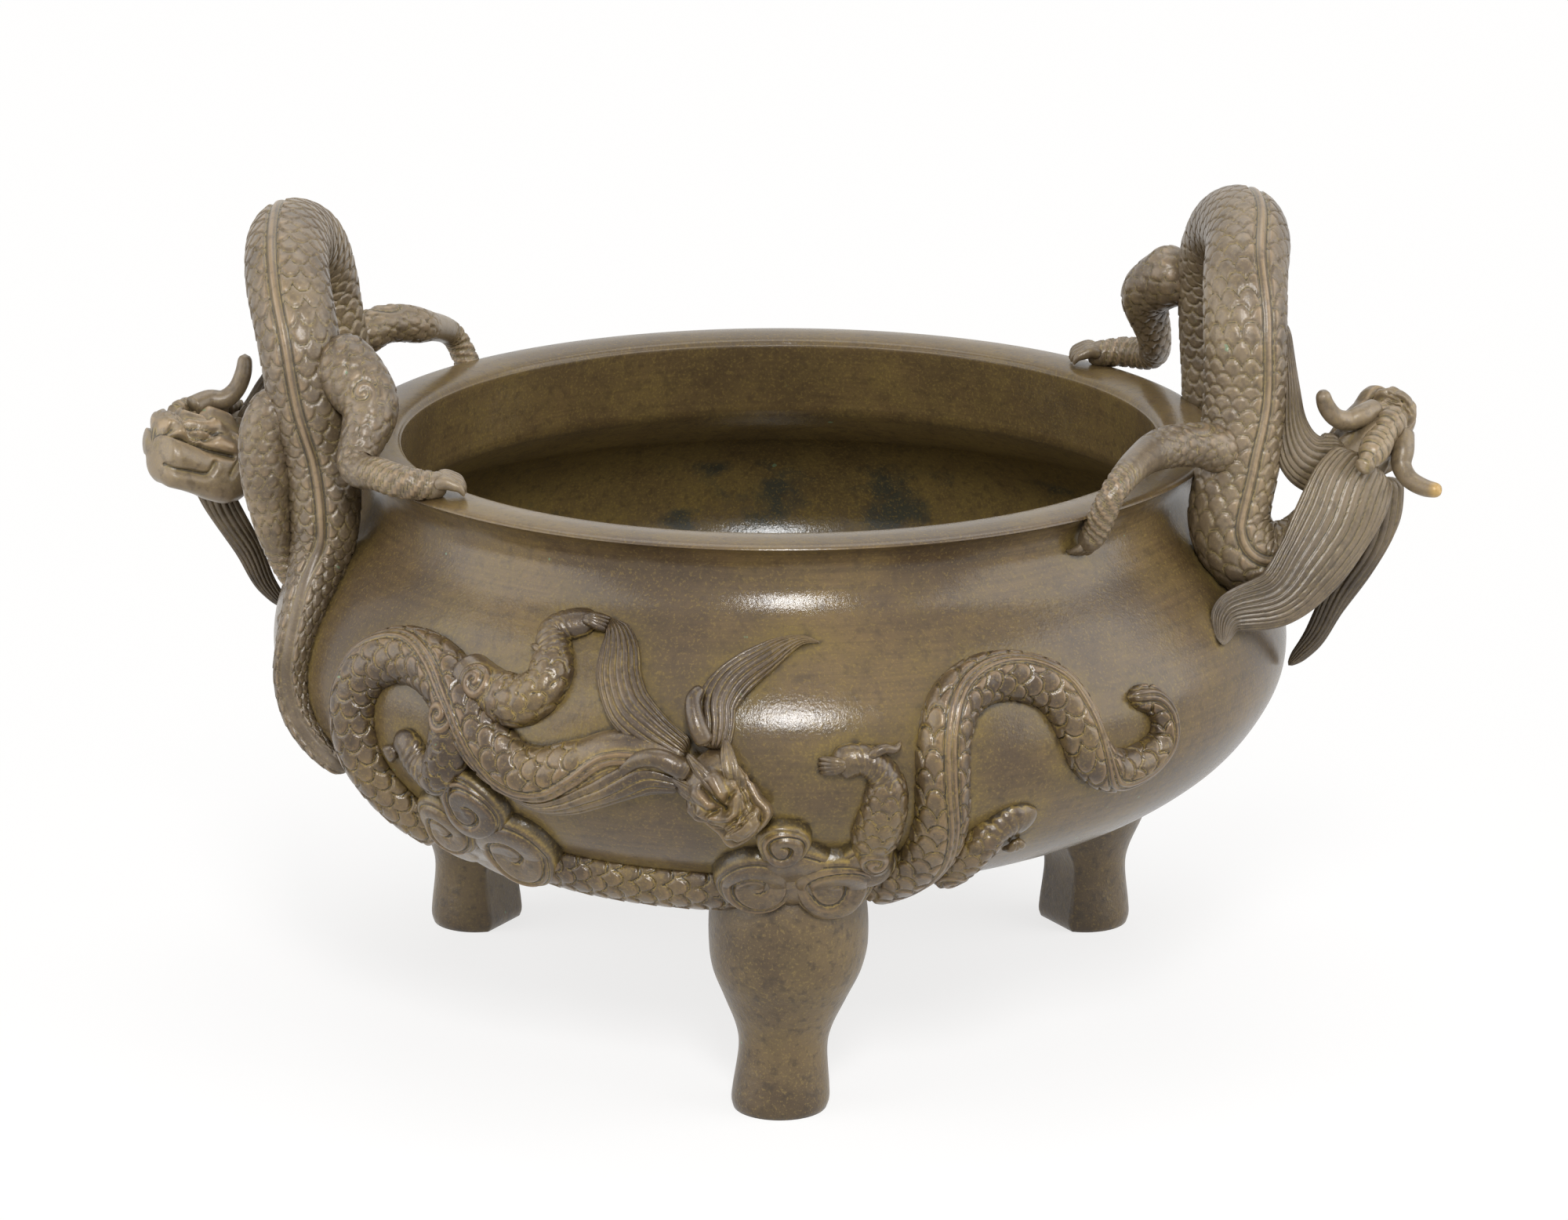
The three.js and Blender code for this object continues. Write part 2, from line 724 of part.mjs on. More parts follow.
function headLimb(frame, sizes, rows, side, grow = 0) {
  const stations = rows.map(([ahead, sideways, height, radius]) => ({
    centre: inHead(frame, sizes, [ahead, side * sideways, height]),
    width: radius * sizes.width,
    thickness: radius * sizes.width,
  }));
  return limb(stations, { sides: LIMB_SIDES, steps: rows.length + 1, grow });
}

// Handles are drawn at the right side and turned to their place
const limbPlane =
  Math.sqrt(LIP_RADIUS ** 2 - (HANDLE_SPAN / 2) ** 2) + TRUNK_RADIUS + CASTING_GAP;
const HANDLE_AXIS = 90;

// How far a place follows the neck when a dragon holds its head lower: all of it near the head, none
// of it at the limbs and at the ends of the locks
function neckShare(out, along, rise) {
  if (along > 0) return 0;
  return THREE.MathUtils.smoothstep(out, 0.2, 0.5) * THREE.MathUtils.smoothstep(rise, -0.32, -0.02);
}

function handlePoint(handle, [out, along, rise]) {
  const above = Math.max(rise, 0);
  const sway = above * (handle.lean + handle.hindLean * Math.max(along, 0));
  const height = rise > 0 ? rise * handle.riseShare : rise;
  return new THREE.Vector3(
    limbPlane + out * HANDLE_REACH + sway,
    along * HANDLE_SPAN,
    RIM_LEVEL + height * ARCH_RISE - handle.neckDrop * neckShare(out, along, rise),
  );
}

function freeStation(handle, [out, along, rise, width, thickness = width], size) {
  return {
    centre: handlePoint(handle, [out, along, rise]),
    width: width * size,
    thickness: thickness * size,
  };
}

function wallStation([degrees, share, lift, width, thickness = width], size, turn = 0) {
  return {
    centre: onWall(HANDLE_AXIS + turn + degrees, share, lift * size),
    width: width * size,
    thickness: thickness * size,
  };
}

function rimStation([degrees, inwards, lift, radius], turn = 0) {
  const out = LIP_RADIUS - inwards * (LIP_RADIUS - MOUTH_RADIUS);
  return {
    centre: round(HANDLE_AXIS + turn + degrees, out, RIM_LEVEL + RIM_CROWN + lift * TRUNK_RADIUS),
    width: radius * TRUNK_RADIUS,
    thickness: radius * TRUNK_RADIUS,
  };
}

function handlePieces(handle) {
  const sizes = { length: HEAD_LENGTH, height: HEAD_HEIGHT, width: HEAD_WIDTH };
  const [yaw, pitch, roll] = handle.headTurnShares.map((share) => (share * Math.PI) / 2);
  const forward = new THREE.Vector3(
    Math.cos(yaw) * Math.cos(pitch),
    Math.sin(yaw) * Math.cos(pitch),
    Math.sin(pitch),
  );
  const crown = up.clone().applyAxisAngle(forward, roll);
  const [headOut, headAlong, headRise] = handle.headBaseShares;
  const rear = new THREE.Vector3(
    limbPlane + headOut * HANDLE_REACH,
    headAlong * HANDLE_SPAN,
    RIM_LEVEL + headRise * ARCH_RISE,
  );
  const frame = headFrame(rear, forward, crown);

  const free = (rows, size = TRUNK_RADIUS) => rows.map((row) => freeStation(handle, row, size));
  const walled = (rows, size = TRUNK_RADIUS) => rows.map((row) => wallStation(row, size));
  const neckEnd = {
    centre: frame.rear.clone().addScaledVector(forward, HEAD_LENGTH / 8),
    width: TRUNK_RADIUS * TRUNK_SHARES[0][3],
    thickness: TRUNK_RADIUS * TRUNK_SHARES[0][3],
  };
  const trunkStations = [neckEnd, ...free(TRUNK_SHARES)];
  const limbs = {
    trunk: (grow) =>
      limb(trunkStations, { sides: TRUNK_SIDES, steps: TRUNK_STEPS, grow }),
    tail: (grow) =>
      ribbon(TAIL_SHARES, {
        section: RIBBON_SECTION_SHARES,
        steps: LIMB_STEPS,
        width: 2 * TRUNK_RADIUS,
        height: 2 * TRUNK_RADIUS,
        grow,
      }),
    foreleg: (grow) =>
      limb(
        [
          ...free(handle.forelegShares),
          rimStation(FORE_WRIST_SHARES, handle.foreFootDegrees),
          ...FORE_CLAW_SHARES.map((row) => wallStation(row, TRUNK_RADIUS, handle.foreFootDegrees)),
        ],
        { sides: LIMB_SIDES, steps: LIMB_STEPS, grow },
      ),
    hindleg_inner: (grow) =>
      limb([...free(handle.hindlegShares), ...HIND_FOOT_SHARES.map((row) => rimStation(row))], {
        sides: LIMB_SIDES,
        steps: LIMB_STEPS,
        grow,
      }),
    hindleg_outer: (grow) =>
      limb([...free(OUTER_HINDLEG_SHARES), ...walled(OUTER_FOOT_SHARES)], {
        sides: LIMB_SIDES,
        steps: LIMB_STEPS,
        grow,
      }),
    mane_arch: (grow) =>
      limb(free(ARCH_LOCK_SHARES, LOCK_WIDTH), {
        sides: LIMB_SIDES,
        steps: LIMB_STEPS,
        facing: LOCK_FACING,
        grow,
      }),
    mane_inner: (grow) =>
      limb([...free(INNER_LOCK_SHARES, LOCK_WIDTH), ...walled(INNER_LOCK_TIP_SHARES, LOCK_WIDTH)], {
        sides: LIMB_SIDES,
        steps: LIMB_STEPS,
        facing: LOCK_FACING,
        grow,
      }),
    mane_outer: (grow) =>
      limb([...free(OUTER_LOCK_SHARES, LOCK_WIDTH), ...walled(OUTER_LOCK_TIP_SHARES, LOCK_WIDTH)], {
        sides: LIMB_SIDES,
        steps: LIMB_STEPS,
        facing: LOCK_FACING,
        grow,
      }),
    head: (grow) => headSolid(frame, sizes, grow),
    horn_near: (grow) => headLimb(frame, sizes, HORN_SHARES, 1, grow),
    horn_far: (grow) => headLimb(frame, sizes, HORN_SHARES, -1, grow),
    topknot: (grow) => headLimb(frame, sizes, TOPKNOT_SHARES, 1, grow),
  };
  return limbs;
}

// Each piece of a handle gives way to the ones before it
const HANDLE_ORDER = [
  "head",
  "trunk",
  "tail",
  "foreleg",
  "hindleg_inner",
  "hindleg_outer",
  "horn_near",
  "horn_far",
  "topknot",
  "mane_inner",
  "mane_arch",
  "mane_outer",
];

// Relief: ribbons that lie on the wall
const RIBBON_SECTION_SHARES = [
  [-0.9, 0],
  [0.9, 0],
  [1, 0.36],
  [0.62, 0.86],
  [0, 1],
  [-0.62, 0.86],
  [-1, 0.36],
];
const SLIM_SECTION_SHARES = [
  [-0.9, 0],
  [0.9, 0],
  [1, 0.4],
  [0.48, 0.97],
  [-0.48, 0.97],
  [-1, 0.4],
];

function ribbon(rows, { section, steps, width, height, grow = 0 }) {
  const places = Array.from({ length: steps + 1 }, (_, k) => columnsAt(rows, k / steps));
  const centres = places.map(([degrees, share]) => onWall(degrees, share));
  const rings = places.map(([degrees, share, widthShare, heightShare], k) => {
    const next = centres[Math.min(k + 1, steps)];
    const tangent = next.clone().sub(centres[Math.max(k - 1, 0)]).normalize();
    const normal = wallNormal(degrees, share);
    const across = normal.clone().cross(tangent).normalize();
    const eastward = round(degrees + HANDLE_AXIS, 1, 0);
    const upward = normal.clone().cross(eastward);
    const radius = wallAt(share).x;
    const end = (k === steps ? grow : 0) - (k === 0 ? grow : 0);
    const shift = (direction, distance) => [
      THREE.MathUtils.radToDeg((direction.dot(eastward) * distance) / radius),
      (direction.dot(upward) * distance) / wallLength,
    ];
    const [endDegrees, endShare] = shift(tangent, end);
    return section.map(([sideways, rise]) => {
      const half = (widthShare * width) / 2 + grow;
      const [moreDegrees, moreShare] = shift(across, sideways * half);
      const base = grow > 0 ? -CUT_OVERRUN : SEAT_GAP;
      const top = heightShare * height + grow;
      const lift = rise === 0 ? base : SEAT_GAP + rise * (top - SEAT_GAP);
      return onWall(degrees + moreDegrees + endDegrees, share + moreShare + endShare, lift);
    });
  });
  return loft(rings);
}

// A low round boss on the wall
function boss([degrees, share, radiusShare, heightShare], grow = 0) {
  const radius = radiusShare * CLOUD_RADIUS + grow;
  const height = heightShare * CLOUD_HEIGHT + grow;
  const base = grow > 0 ? -CUT_OVERRUN : SEAT_GAP;
  const ring = (radial, lift) =>
    Array.from({ length: CLOUD_BOSS_POINTS }, (_, k) => {
      const angle = (k / CLOUD_BOSS_POINTS) * 2 * Math.PI;
      const along = (radial * radius * Math.cos(angle)) / wallAt(share).x;
      const rise = (radial * radius * Math.sin(angle)) / wallLength;
      return onWall(degrees + THREE.MathUtils.radToDeg(along), share + rise, lift);
    });
  return loft([
    ring(0.5, base),
    ring(1, base),
    ...BOSS_SHARES.map(([radial, lift]) => ring(radial, SEAT_GAP + lift * (height - SEAT_GAP))),
  ]);
}

function reliefPieces() {
  const rear = onWall(...RELIEF_HEAD_REAR_SHARES, RELIEF_HEAD_LIFT_SHARE * RELIEF_HEAD_HEIGHT);
  const snout = onWall(...RELIEF_HEAD_SNOUT_SHARES, RELIEF_HEAD_LIFT_SHARE * RELIEF_HEAD_HEIGHT);
  const crown = wallNormal(...RELIEF_HEAD_REAR_SHARES);
  const frame = headFrame(rear, snout.clone().sub(rear).normalize(), crown);
  const sizes = {
    length: RELIEF_HEAD_LENGTH,
    height: RELIEF_HEAD_HEIGHT,
    width: RELIEF_HEAD_WIDTH,
  };
  const body = (rows, steps) => (grow) =>
    ribbon(rows, {
      section: RIBBON_SECTION_SHARES,
      steps,
      width: RELIEF_WIDTH,
      height: RELIEF_HEIGHT,
      grow,
    });
  const slim = (rows) => (grow) =>
    ribbon(rows, {
      section: SLIM_SECTION_SHARES,
      steps: Math.round(1.5 * (rows.length - 1)),
      width: RELIEF_WIDTH,
      height: RELIEF_HEIGHT,
      grow,
    });
  const pieces = {
    head: (grow) => headSolid(frame, sizes, grow),
    fore_body: body(FORE_BODY_SHARES, FORE_BODY_STEPS),
    lower_body: body(LOWER_BODY_SHARES, LOWER_BODY_STEPS),
    hind_body: body(HIND_BODY_SHARES, HIND_BODY_STEPS),
  };
  const slimTables = {
    ...RELIEF_FORELEGS,
    ...RELIEF_HINDLEGS,
    ...RELIEF_LOCKS,
    ...RELIEF_HORNS,
  };
  for (const [name, rows] of Object.entries(slimTables)) pieces[name] = slim(rows);
  for (const [name, rows] of Object.entries(CLOUDS)) {
    pieces[name] = (grow) =>
      rows.map((row) => boss(row, grow)).reduce((joined, next) => joined.add(next));
  }
  return pieces;
}

// Each piece of a relief dragon gives way to the ones before it
const RELIEF_ORDER = [
  "head",
  "cloud_left",
  "cloud_front",
  "fore_body",
  "lower_body",
  "hind_body",
  "horn_outer",
  "horn_inner",
  "lock_upper",
  "lock_middle",
  "lock_lower",
  "foreleg_upper",
  "foreleg_lower",
  "hindleg_upper",
  "hindleg_lower",
];

function fitPieces(pieces, order, extra = {}) {
  const fitted = {};
  const cutters = [];
  for (const name of order) {
    fitted[name] = cutBy(pieces[name](0), [...cutters, ...(extra[name] ?? [])]);
    cutters.push(pieces[name](CASTING_GAP));
  }
  return fitted;
}

// Materials
const bronze = () =>
  new THREE.MeshStandardMaterial({ color: 0x5b4a33, roughness: 0.42, metalness: 0.75 });
const dustedBronze = () =>
  new THREE.MeshStandardMaterial({ color: 0x5e5034, roughness: 0.55, metalness: 0.6 });

const group = new THREE.Group();

function addMesh(name, solid, material) {
  const mesh = solid.getMesh();
  const places = new Float32Array(mesh.numVert * 3);
  for (let k = 0; k < mesh.numVert; k += 1) {
    for (let axis = 0; axis < 3; axis += 1) {
      places[3 * k + axis] = mesh.vertProperties[k * mesh.numProp + axis];
    }
  }
  const geometry = new THREE.BufferGeometry();
  geometry.setAttribute("position", new THREE.BufferAttribute(places, 3));
  geometry.setIndex(new THREE.BufferAttribute(mesh.triVerts, 1));
  geometry.computeVertexNormals();
  const node = new THREE.Mesh(geometry, material);
  node.name = name;
  group.add(node);
}

addMesh("vessel_body", bowl, bronze());

const relief = reliefPieces();
// Relief pieces that lie over the top of a leg
const OVER_HIPS = ["cloud_front", "cloud_left", "lower_body", "hind_body", "hindleg_upper"];
const reliefTurn = (k) => (360 * k) / RELIEF_SIDES.length;
const hipCutters = RELIEF_SIDES.flatMap((_, k) =>
  OVER_HIPS.map((piece) => turned(relief[piece](CASTING_GAP), reliefTurn(k))),
);
LEG_NAMES.forEach((name, k) => {
  const hipOffset = k === 0 ? FRONT_HIP_OFFSET : 0;
  addMesh(name, leg((360 * k) / LEG_NAMES.length, hipOffset, hipCutters), bronze());
});

const reliefFitted = fitPieces(relief, RELIEF_ORDER, { head: [bowlCutter] });
RELIEF_SIDES.forEach((side, k) => {
  for (const [name, solid] of Object.entries(reliefFitted)) {
    addMesh(`${side}_relief_${name}`, turned(solid, reliefTurn(k)), dustedBronze());
  }
});

// A tail tip runs up to the loop of the relief dragon beside it
const loopCutter = turned(relief.fore_body(CASTING_GAP), 180);
HANDLES.forEach((handle, k) => {
  const fitted = fitPieces(handlePieces(handle), HANDLE_ORDER, {
    tail: [loopCutter],
    trunk: [bowlCutter],
    foreleg: [bowlCutter],
    hindleg_inner: [bowlCutter],
    hindleg_outer: [bowlCutter],
    mane_inner: [bowlCutter],
    mane_outer: [bowlCutter],
  });
  for (const [name, solid] of Object.entries(fitted)) {
    addMesh(`${handle.name}_dragon_${name}`, turned(solid, (360 * k) / HANDLES.length), bronze());
  }
});

export default group;
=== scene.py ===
"""Tripod censer: a round bronze bowl on three legs, with a dragon for each handle and a dragon in
relief on the front and on the back of the belly.

Metres. +Z is up, the front faces -Y and the right handle is at +X. Degrees round the bowl count from
the front, towards +X.
"""

import json
import math
from functools import partial

import bmesh
import bpy
import numpy as np
from mathutils.kdtree import KDTree
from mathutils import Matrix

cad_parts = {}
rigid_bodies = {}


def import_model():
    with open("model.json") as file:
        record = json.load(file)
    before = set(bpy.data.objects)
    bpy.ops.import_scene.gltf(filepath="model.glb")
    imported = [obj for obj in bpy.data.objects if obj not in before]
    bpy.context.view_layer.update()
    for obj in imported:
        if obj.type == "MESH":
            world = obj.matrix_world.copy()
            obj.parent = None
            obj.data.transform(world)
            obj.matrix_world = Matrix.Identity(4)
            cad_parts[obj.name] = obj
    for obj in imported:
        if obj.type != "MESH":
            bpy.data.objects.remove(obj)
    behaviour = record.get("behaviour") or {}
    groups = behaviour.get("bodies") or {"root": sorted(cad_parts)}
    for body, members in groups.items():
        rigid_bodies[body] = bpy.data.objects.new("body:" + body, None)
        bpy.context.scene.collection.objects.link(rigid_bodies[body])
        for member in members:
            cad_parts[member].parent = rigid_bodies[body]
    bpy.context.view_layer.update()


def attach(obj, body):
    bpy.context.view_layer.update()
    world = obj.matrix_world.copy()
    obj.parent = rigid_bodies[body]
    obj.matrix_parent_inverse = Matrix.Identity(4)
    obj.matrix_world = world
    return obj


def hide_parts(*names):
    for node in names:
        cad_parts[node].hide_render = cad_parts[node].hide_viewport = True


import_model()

# Sizes are named once, and tables give shares of them. Each row of a table is a station along its piece.

# Bowl
BELLY_RADIUS = 0.125
UNDERSIDE_LEVEL = 0.0415
BELLY_LEVEL = 0.091
NECK_LEVEL = 0.133
RIM_LEVEL = 0.1415
NECK_RADIUS = 0.1018
LIP_RADIUS = 0.107
MOUTH_RADIUS = 0.093
RIM_CROWN = 0.0012
WALL_THICKNESS = 0.005
LOWER_WALL_SHARES = [
    (0, 0), (0.3, 0.026), (0.54, 0.12), (0.747, 0.275), (0.893, 0.505), (0.974, 0.766), (1, 1),
]
SHOULDER_SHARES = [(0.89, 0.31), (0.526, 0.595), (0.138, 0.82), (0, 1)]
LIP_SHARES = [(0.35, 0.7), (1, 1)]
# The rounded edge: out from the lip's or the mouth's radius and up from the rim's level
LIP_STEPS = [(0.0001, -0.0002), (-0.0004, 0.0004), (-0.0022, 0.0009), (-0.007, RIM_CROWN)]
MOUTH_STEPS = [(0.0018, 0.0006), (0.0003, -0.0006), (0, -0.003), (0.0012, -0.02)]
# Points of the wall's outline, and every how many of them serve where less will do
WALL_STATIONS = 2400
COARSE_STEP = 12
OUTER_RINGS = 150
LIP_RINGS = 36
INNER_RINGS = 60
BOWL_COLUMNS = 360
# Rings of the lip's outer edge, and rings without soot at the top of the inner wall
EDGE_RINGS = 10
CLEAN_RINGS = 4
# How hollow the parts of the bowl count, which is how much dust they hold, and above about 0.8 also how far
# painted shade darkens them
WALL_HOLLOW = 0.42
EDGE_HOLLOW = 0.45
RIM_HOLLOW = 0.68
INSIDE_HOLLOW = 0.85
# Every how many corners of a raised piece are looked at for the dust round it
SAMPLE_STEP = 7

# Legs
FRONT_HIP_OFFSET = 0.002
LEG_AXIS_RADIUS = 0.0905
HIP_WIDTH = 0.037
HIP_LEVEL = 0.041
INNER_FACE_WIDTH = 0.015
# Height share of the hip level, width share of the hip width
LEG_SHARES = [
    (0, 0.6), (0.05, 0.63), (0.13, 0.62), (0.36, 0.57), (0.5, 0.62), (0.68, 0.79), (0.86, 0.96),
    (1.05, 1.02), (1.3, 0.98), (1.55, 0.78),
]
# Rings stand this share of the hip level apart
LEG_STEP = 0.02
LEG_COLUMNS = 72
FLAT_COLUMNS = 16
# Sizes of the rings that close the sole
SOLE_RINGS = (0.5, 0.93)

# Dragon handles
TRUNK_RADIUS = 0.0097
HANDLE_AXIS = 90
HANDLE_SPAN = 0.07
HANDLE_REACH = 0.045
ARCH_RISE = 0.051
LIMB_PLANE = math.sqrt(LIP_RADIUS**2 - (HANDLE_SPAN / 2) ** 2) + TRUNK_RADIUS + 0.0003
NECK_FACING = (0.2, -1, 0.1)
TAIL_FACING = (0.35, 1, 0.25)
# Out from the plane of the limbs, along the span, up from the rim, radius, then where the ridge faces
TRUNK_SHARES = [
    (0.51, -0.5, -0.2, 0.82, 0.2, -1, 0.2),
    (0.31, -0.57, -0.38, 0.92, 0.1, -1, 0.25),
    (0.07, -0.6, -0.4, 0.98, 0.1, -1, 0.25),
    (-0.075, -0.6, -0.225, 1, 0.25, -1, 0),
    (-0.03, -0.56, 0.07, 1, 0.35, -1, 0),
    (0, -0.52, 0.36, 1, 0.6, -1, 0),
    (0, -0.485, 0.66, 1.01, 0.6, -1, 0.2),
    (0.01, -0.36, 0.875, 1.02, 0.35, -0.75, 0.7),
    (0.045, -0.14, 0.985, 1.02, 0.35, -0.2, 1),
    (0.045, 0.09, 0.985, 1.02, 0.35, 0.2, 1),
    (0.03, 0.29, 0.89, 1.02, 0.35, 0.7, 0.7),
    (0, 0.43, 0.68, 1, 0.3, 1, 0.2),
    (-0.01, 0.47, 0.36, 0.98, 0.25, 1, 0),
    (-0.02, 0.47, 0.07, 0.95, 0.1, 1, 0),
    (-0.035, 0.5, -0.2, 0.88, 0.05, 1, 0),
    (-0.01, 0.54, -0.4, 0.76, 0.05, 1, 0),
]
# Degrees, share of the wall, height and width shares of the trunk
TAIL_SHARES = [
    (111.8, 0.8, 0.56, 0.48), (113, 0.76, 0.47, 0.4), (113.3, 0.72, 0.4, 0.37),
    (114.5, 0.68, 0.37, 0.34), (117, 0.645, 0.33, 0.29), (120.5, 0.62, 0.24, 0.2),
]
RIGHT_FORELEG_SHARES = [(-0.06, -0.61, 0.11, 0.78), (-0.27, -0.7, 0.19, 0.66), (-0.51, -0.83, 0.2, 0.6)]
LEFT_FORELEG_SHARES = [(-0.1, -0.56, 0.27, 0.74), (-0.3, -0.64, 0.35, 0.62), (-0.48, -0.74, 0.31, 0.56)]
RIGHT_HINDLEG_SHARES = [
    (-0.14, 0.47, 0.68, 0.74), (-0.26, 0.52, 0.6, 0.78), (-0.38, 0.6, 0.48, 0.64),
    (-0.34, 0.73, 0.24, 0.42),
]
LEFT_HINDLEG_SHARES = [
    (-0.12, 0.46, 0.62, 0.8), (-0.26, 0.52, 0.5, 0.86), (-0.35, 0.61, 0.35, 0.7),
    (-0.25, 0.74, 0.12, 0.43),
]
OUTER_HINDLEG_SHARES = [
    (0.1, 0.47, 0.4, 0.7), (0.24, 0.48, 0.2, 0.76), (0.27, 0.5, -0.03, 0.76), (0.25, 0.52, -0.22, 0.56),
    (0.2, 0.53, -0.42, 0.44),
]
# Degrees from the axis, share inwards over the rim, lift, radius
FORE_WRIST_SHARES = (-44.5, -0.25, 0.62, 0.45)
HIND_FOOT_SHARES = [(32.4, -0.35, 0.42, 0.45), (36.5, -0.14, 0.33, 0.44), (39.5, 0.42, 0.26, 0.34)]
# Degrees from the axis, share of the wall, lift, radius
FORE_CLAW_SHARES = [(-46.5, 0.985, 0.36, 0.46), (-47, 0.95, 0.2, 0.26)]
OUTER_FOOT_SHARES = [(17.5, 0.805, 0.38, 0.4), (17, 0.765, 0.18, 0.26)]

# How much slimmer the finished leg is than its solid, where it faces, how far its end is rounded off,
# shares of its length over which the scales fade out, share and angle of its coil, the coil's radius
DRAGON_LEGS = {
    "foreleg": (0.74, (0, 0, 1), 0.002, (0.3, 0.5), 0.2, 0, 0.005),
    "hindleg_inner": (0.92, (-1, 0, 0.2), 0.003, (0.55, 0.7), 0.3, 1.6, 0.004),
    "hindleg_outer": (0.78, (1, 0, 0), 0.003, (0.55, 0.7), 0.3, 1.6, 0.004),
}

# Heads
HEAD_LENGTH = 0.027
HEAD_HEIGHT = 0.02
HEAD_WIDTH = 0.015
HEAD_ROWS = 170
HEAD_COLUMNS = 180
HEAD_SMOOTHING_PASSES = 24
HEAD_SINK = 0.0015
# Forward, half width, top, bottom, in shares of the head's own sizes
HEAD_SHARES = [
    (0, 0.42, 0.3, -0.62), (0.14, 0.5, 0.42, -0.8), (0.32, 0.55, 0.48, -0.86), (0.48, 0.54, 0.5, -0.84),
    (0.6, 0.47, 0.38, -0.8), (0.74, 0.43, 0.26, -0.76), (0.87, 0.45, 0.28, -0.72),
    (0.96, 0.4, 0.2, -0.62), (1, 0.26, 0.04, -0.42),
]
# Length at the tip of the near horn that is rubbed bright
HORN_RUBBED = 0.0035
# Forward, sideways, up, radius share of the head width
HORN_SHARES = [
    (0.56, 0.31, 0.36, 0.19), (0.42, 0.43, 0.44, 0.18), (0.3, 0.56, 0.41, 0.165),
    (0.22, 0.78, 0.47, 0.15), (0.2, 1.04, 0.6, 0.14), (0.22, 1.25, 0.76, 0.11),
]
TOPKNOT_SHARES = [
    (0.68, 0, 0.4, 0.17), (0.52, 0, 0.5, 0.24), (0.38, 0, 0.56, 0.2), (0.22, 0, 0.62, 0.25),
    (0.08, 0, 0.7, 0.23), (-0.03, 0, 0.75, 0.15), (-0.1, 0, 0.77, 0.19), (-0.14, 0, 0.78, 0.18),
]

# Locks of the mane
LOCK_WIDTH = 0.0132
# Out, along, up, half width, half thickness. Tips: degrees from the axis, share of the wall, lift, then
# the same
ARCH_LOCK_SHARES = [
    (0.56, -0.51, 0.05, 0.5, 0.2), (0.42, -0.535, 0.035, 0.55, 0.2), (0.31, -0.55, 0.09, 0.48, 0.18),
    (0.25, -0.535, 0.22, 0.3, 0.15), (0.23, -0.515, 0.42, 0.19, 0.13), (0.215, -0.485, 0.7, 0.07, 0.07),
]
INNER_LOCK_SHARES = [
    (0.66, -0.54, 0.06, 0.6, 0.23), (0.57, -0.6, -0.06, 0.78, 0.25), (0.46, -0.66, -0.22, 0.76, 0.24),
    (0.34, -0.72, -0.38, 0.66, 0.22), (0.17, -0.77, -0.52, 0.52, 0.18),
]
INNER_LOCK_TIP_SHARES = [(-27.5, 0.805, 0.16, 0.34, 0.11), (-31, 0.78, 0.06, 0.1, 0.04)]
OUTER_LOCK_SHARES = [
    (0.78, -0.44, -0.06, 0.3, 0.19), (0.76, -0.42, -0.26, 0.34, 0.19), (0.66, -0.4, -0.48, 0.3, 0.17),
    (0.51, -0.385, -0.71, 0.24, 0.15), (0.41, -0.37, -0.89, 0.19, 0.12),
]
OUTER_LOCK_TIP_SHARES = [(-11.5, 0.7, 0.12, 0.09, 0.08)]
LOCK_FACING = (0.3, -1, 0.2)

HANDLES = [
    {
        "name": "right", "turn": 0, "lean": 0, "hind_lean": -0.008, "fore_foot": 0, "rise": 1,
        "neck_drop": 0, "foreleg": RIGHT_FORELEG_SHARES, "hindleg": RIGHT_HINDLEG_SHARES,
        "head_base": (0.541, -0.484, -0.044), "head_turn": (0.524, 0.4, 0.573), "face_turn": 0,
    },
    {
        "name": "left", "turn": 180, "lean": 0.0065, "hind_lean": 0, "fore_foot": 4, "rise": 0.92,
        "neck_drop": 0.011, "foreleg": LEFT_FORELEG_SHARES, "hindleg": LEFT_HINDLEG_SHARES,
        "head_base": (0.532, -0.473, -0.265), "head_turn": (0.347, 0.204, 0.594), "face_turn": 42,
    },
]

# Dragons in relief
RELIEF_WIDTH = 0.0125
RELIEF_HEIGHT = 0.006
# Degrees, share of the wall, width share, height share, and on the body the place of the ridge
FORE_BODY_SHARES = [
    (-9.5, 0.735, 0.8, 0.8, 0.3), (-14, 0.738, 0.86, 0.9, 0.2), (-18, 0.732, 0.9, 1, 0.1),
    (-22, 0.713, 0.92, 1, 0.35), (-25.5, 0.7, 0.94, 1, 0.55), (-29, 0.702, 0.96, 1, 0.6),
    (-32.5, 0.725, 1, 1, 0.45), (-36.5, 0.763, 1, 1, 0.15), (-41, 0.793, 1, 1, -0.1),
    (-46, 0.8, 1, 1, -0.5), (-50.5, 0.782, 1, 1, -0.62), (-52.7, 0.745, 1, 1, -0.66),
    (-52.8, 0.7, 1, 1, -0.66), (-51.8, 0.65, 1, 1, -0.64), (-49.5, 0.6, 1.02, 1, -0.6),
    (-46, 0.557, 1.05, 0.95, -0.5),
]
LOWER_BODY_SHARES = [
    (-33, 0.54, 1.1, 0.85, -0.5), (-26, 0.52, 1.14, 0.95, -0.5), (-18, 0.51, 1.14, 1, -0.5),
    (-10, 0.505, 1.12, 1, -0.5), (-5, 0.5, 1.1, 0.9, -0.5),
]
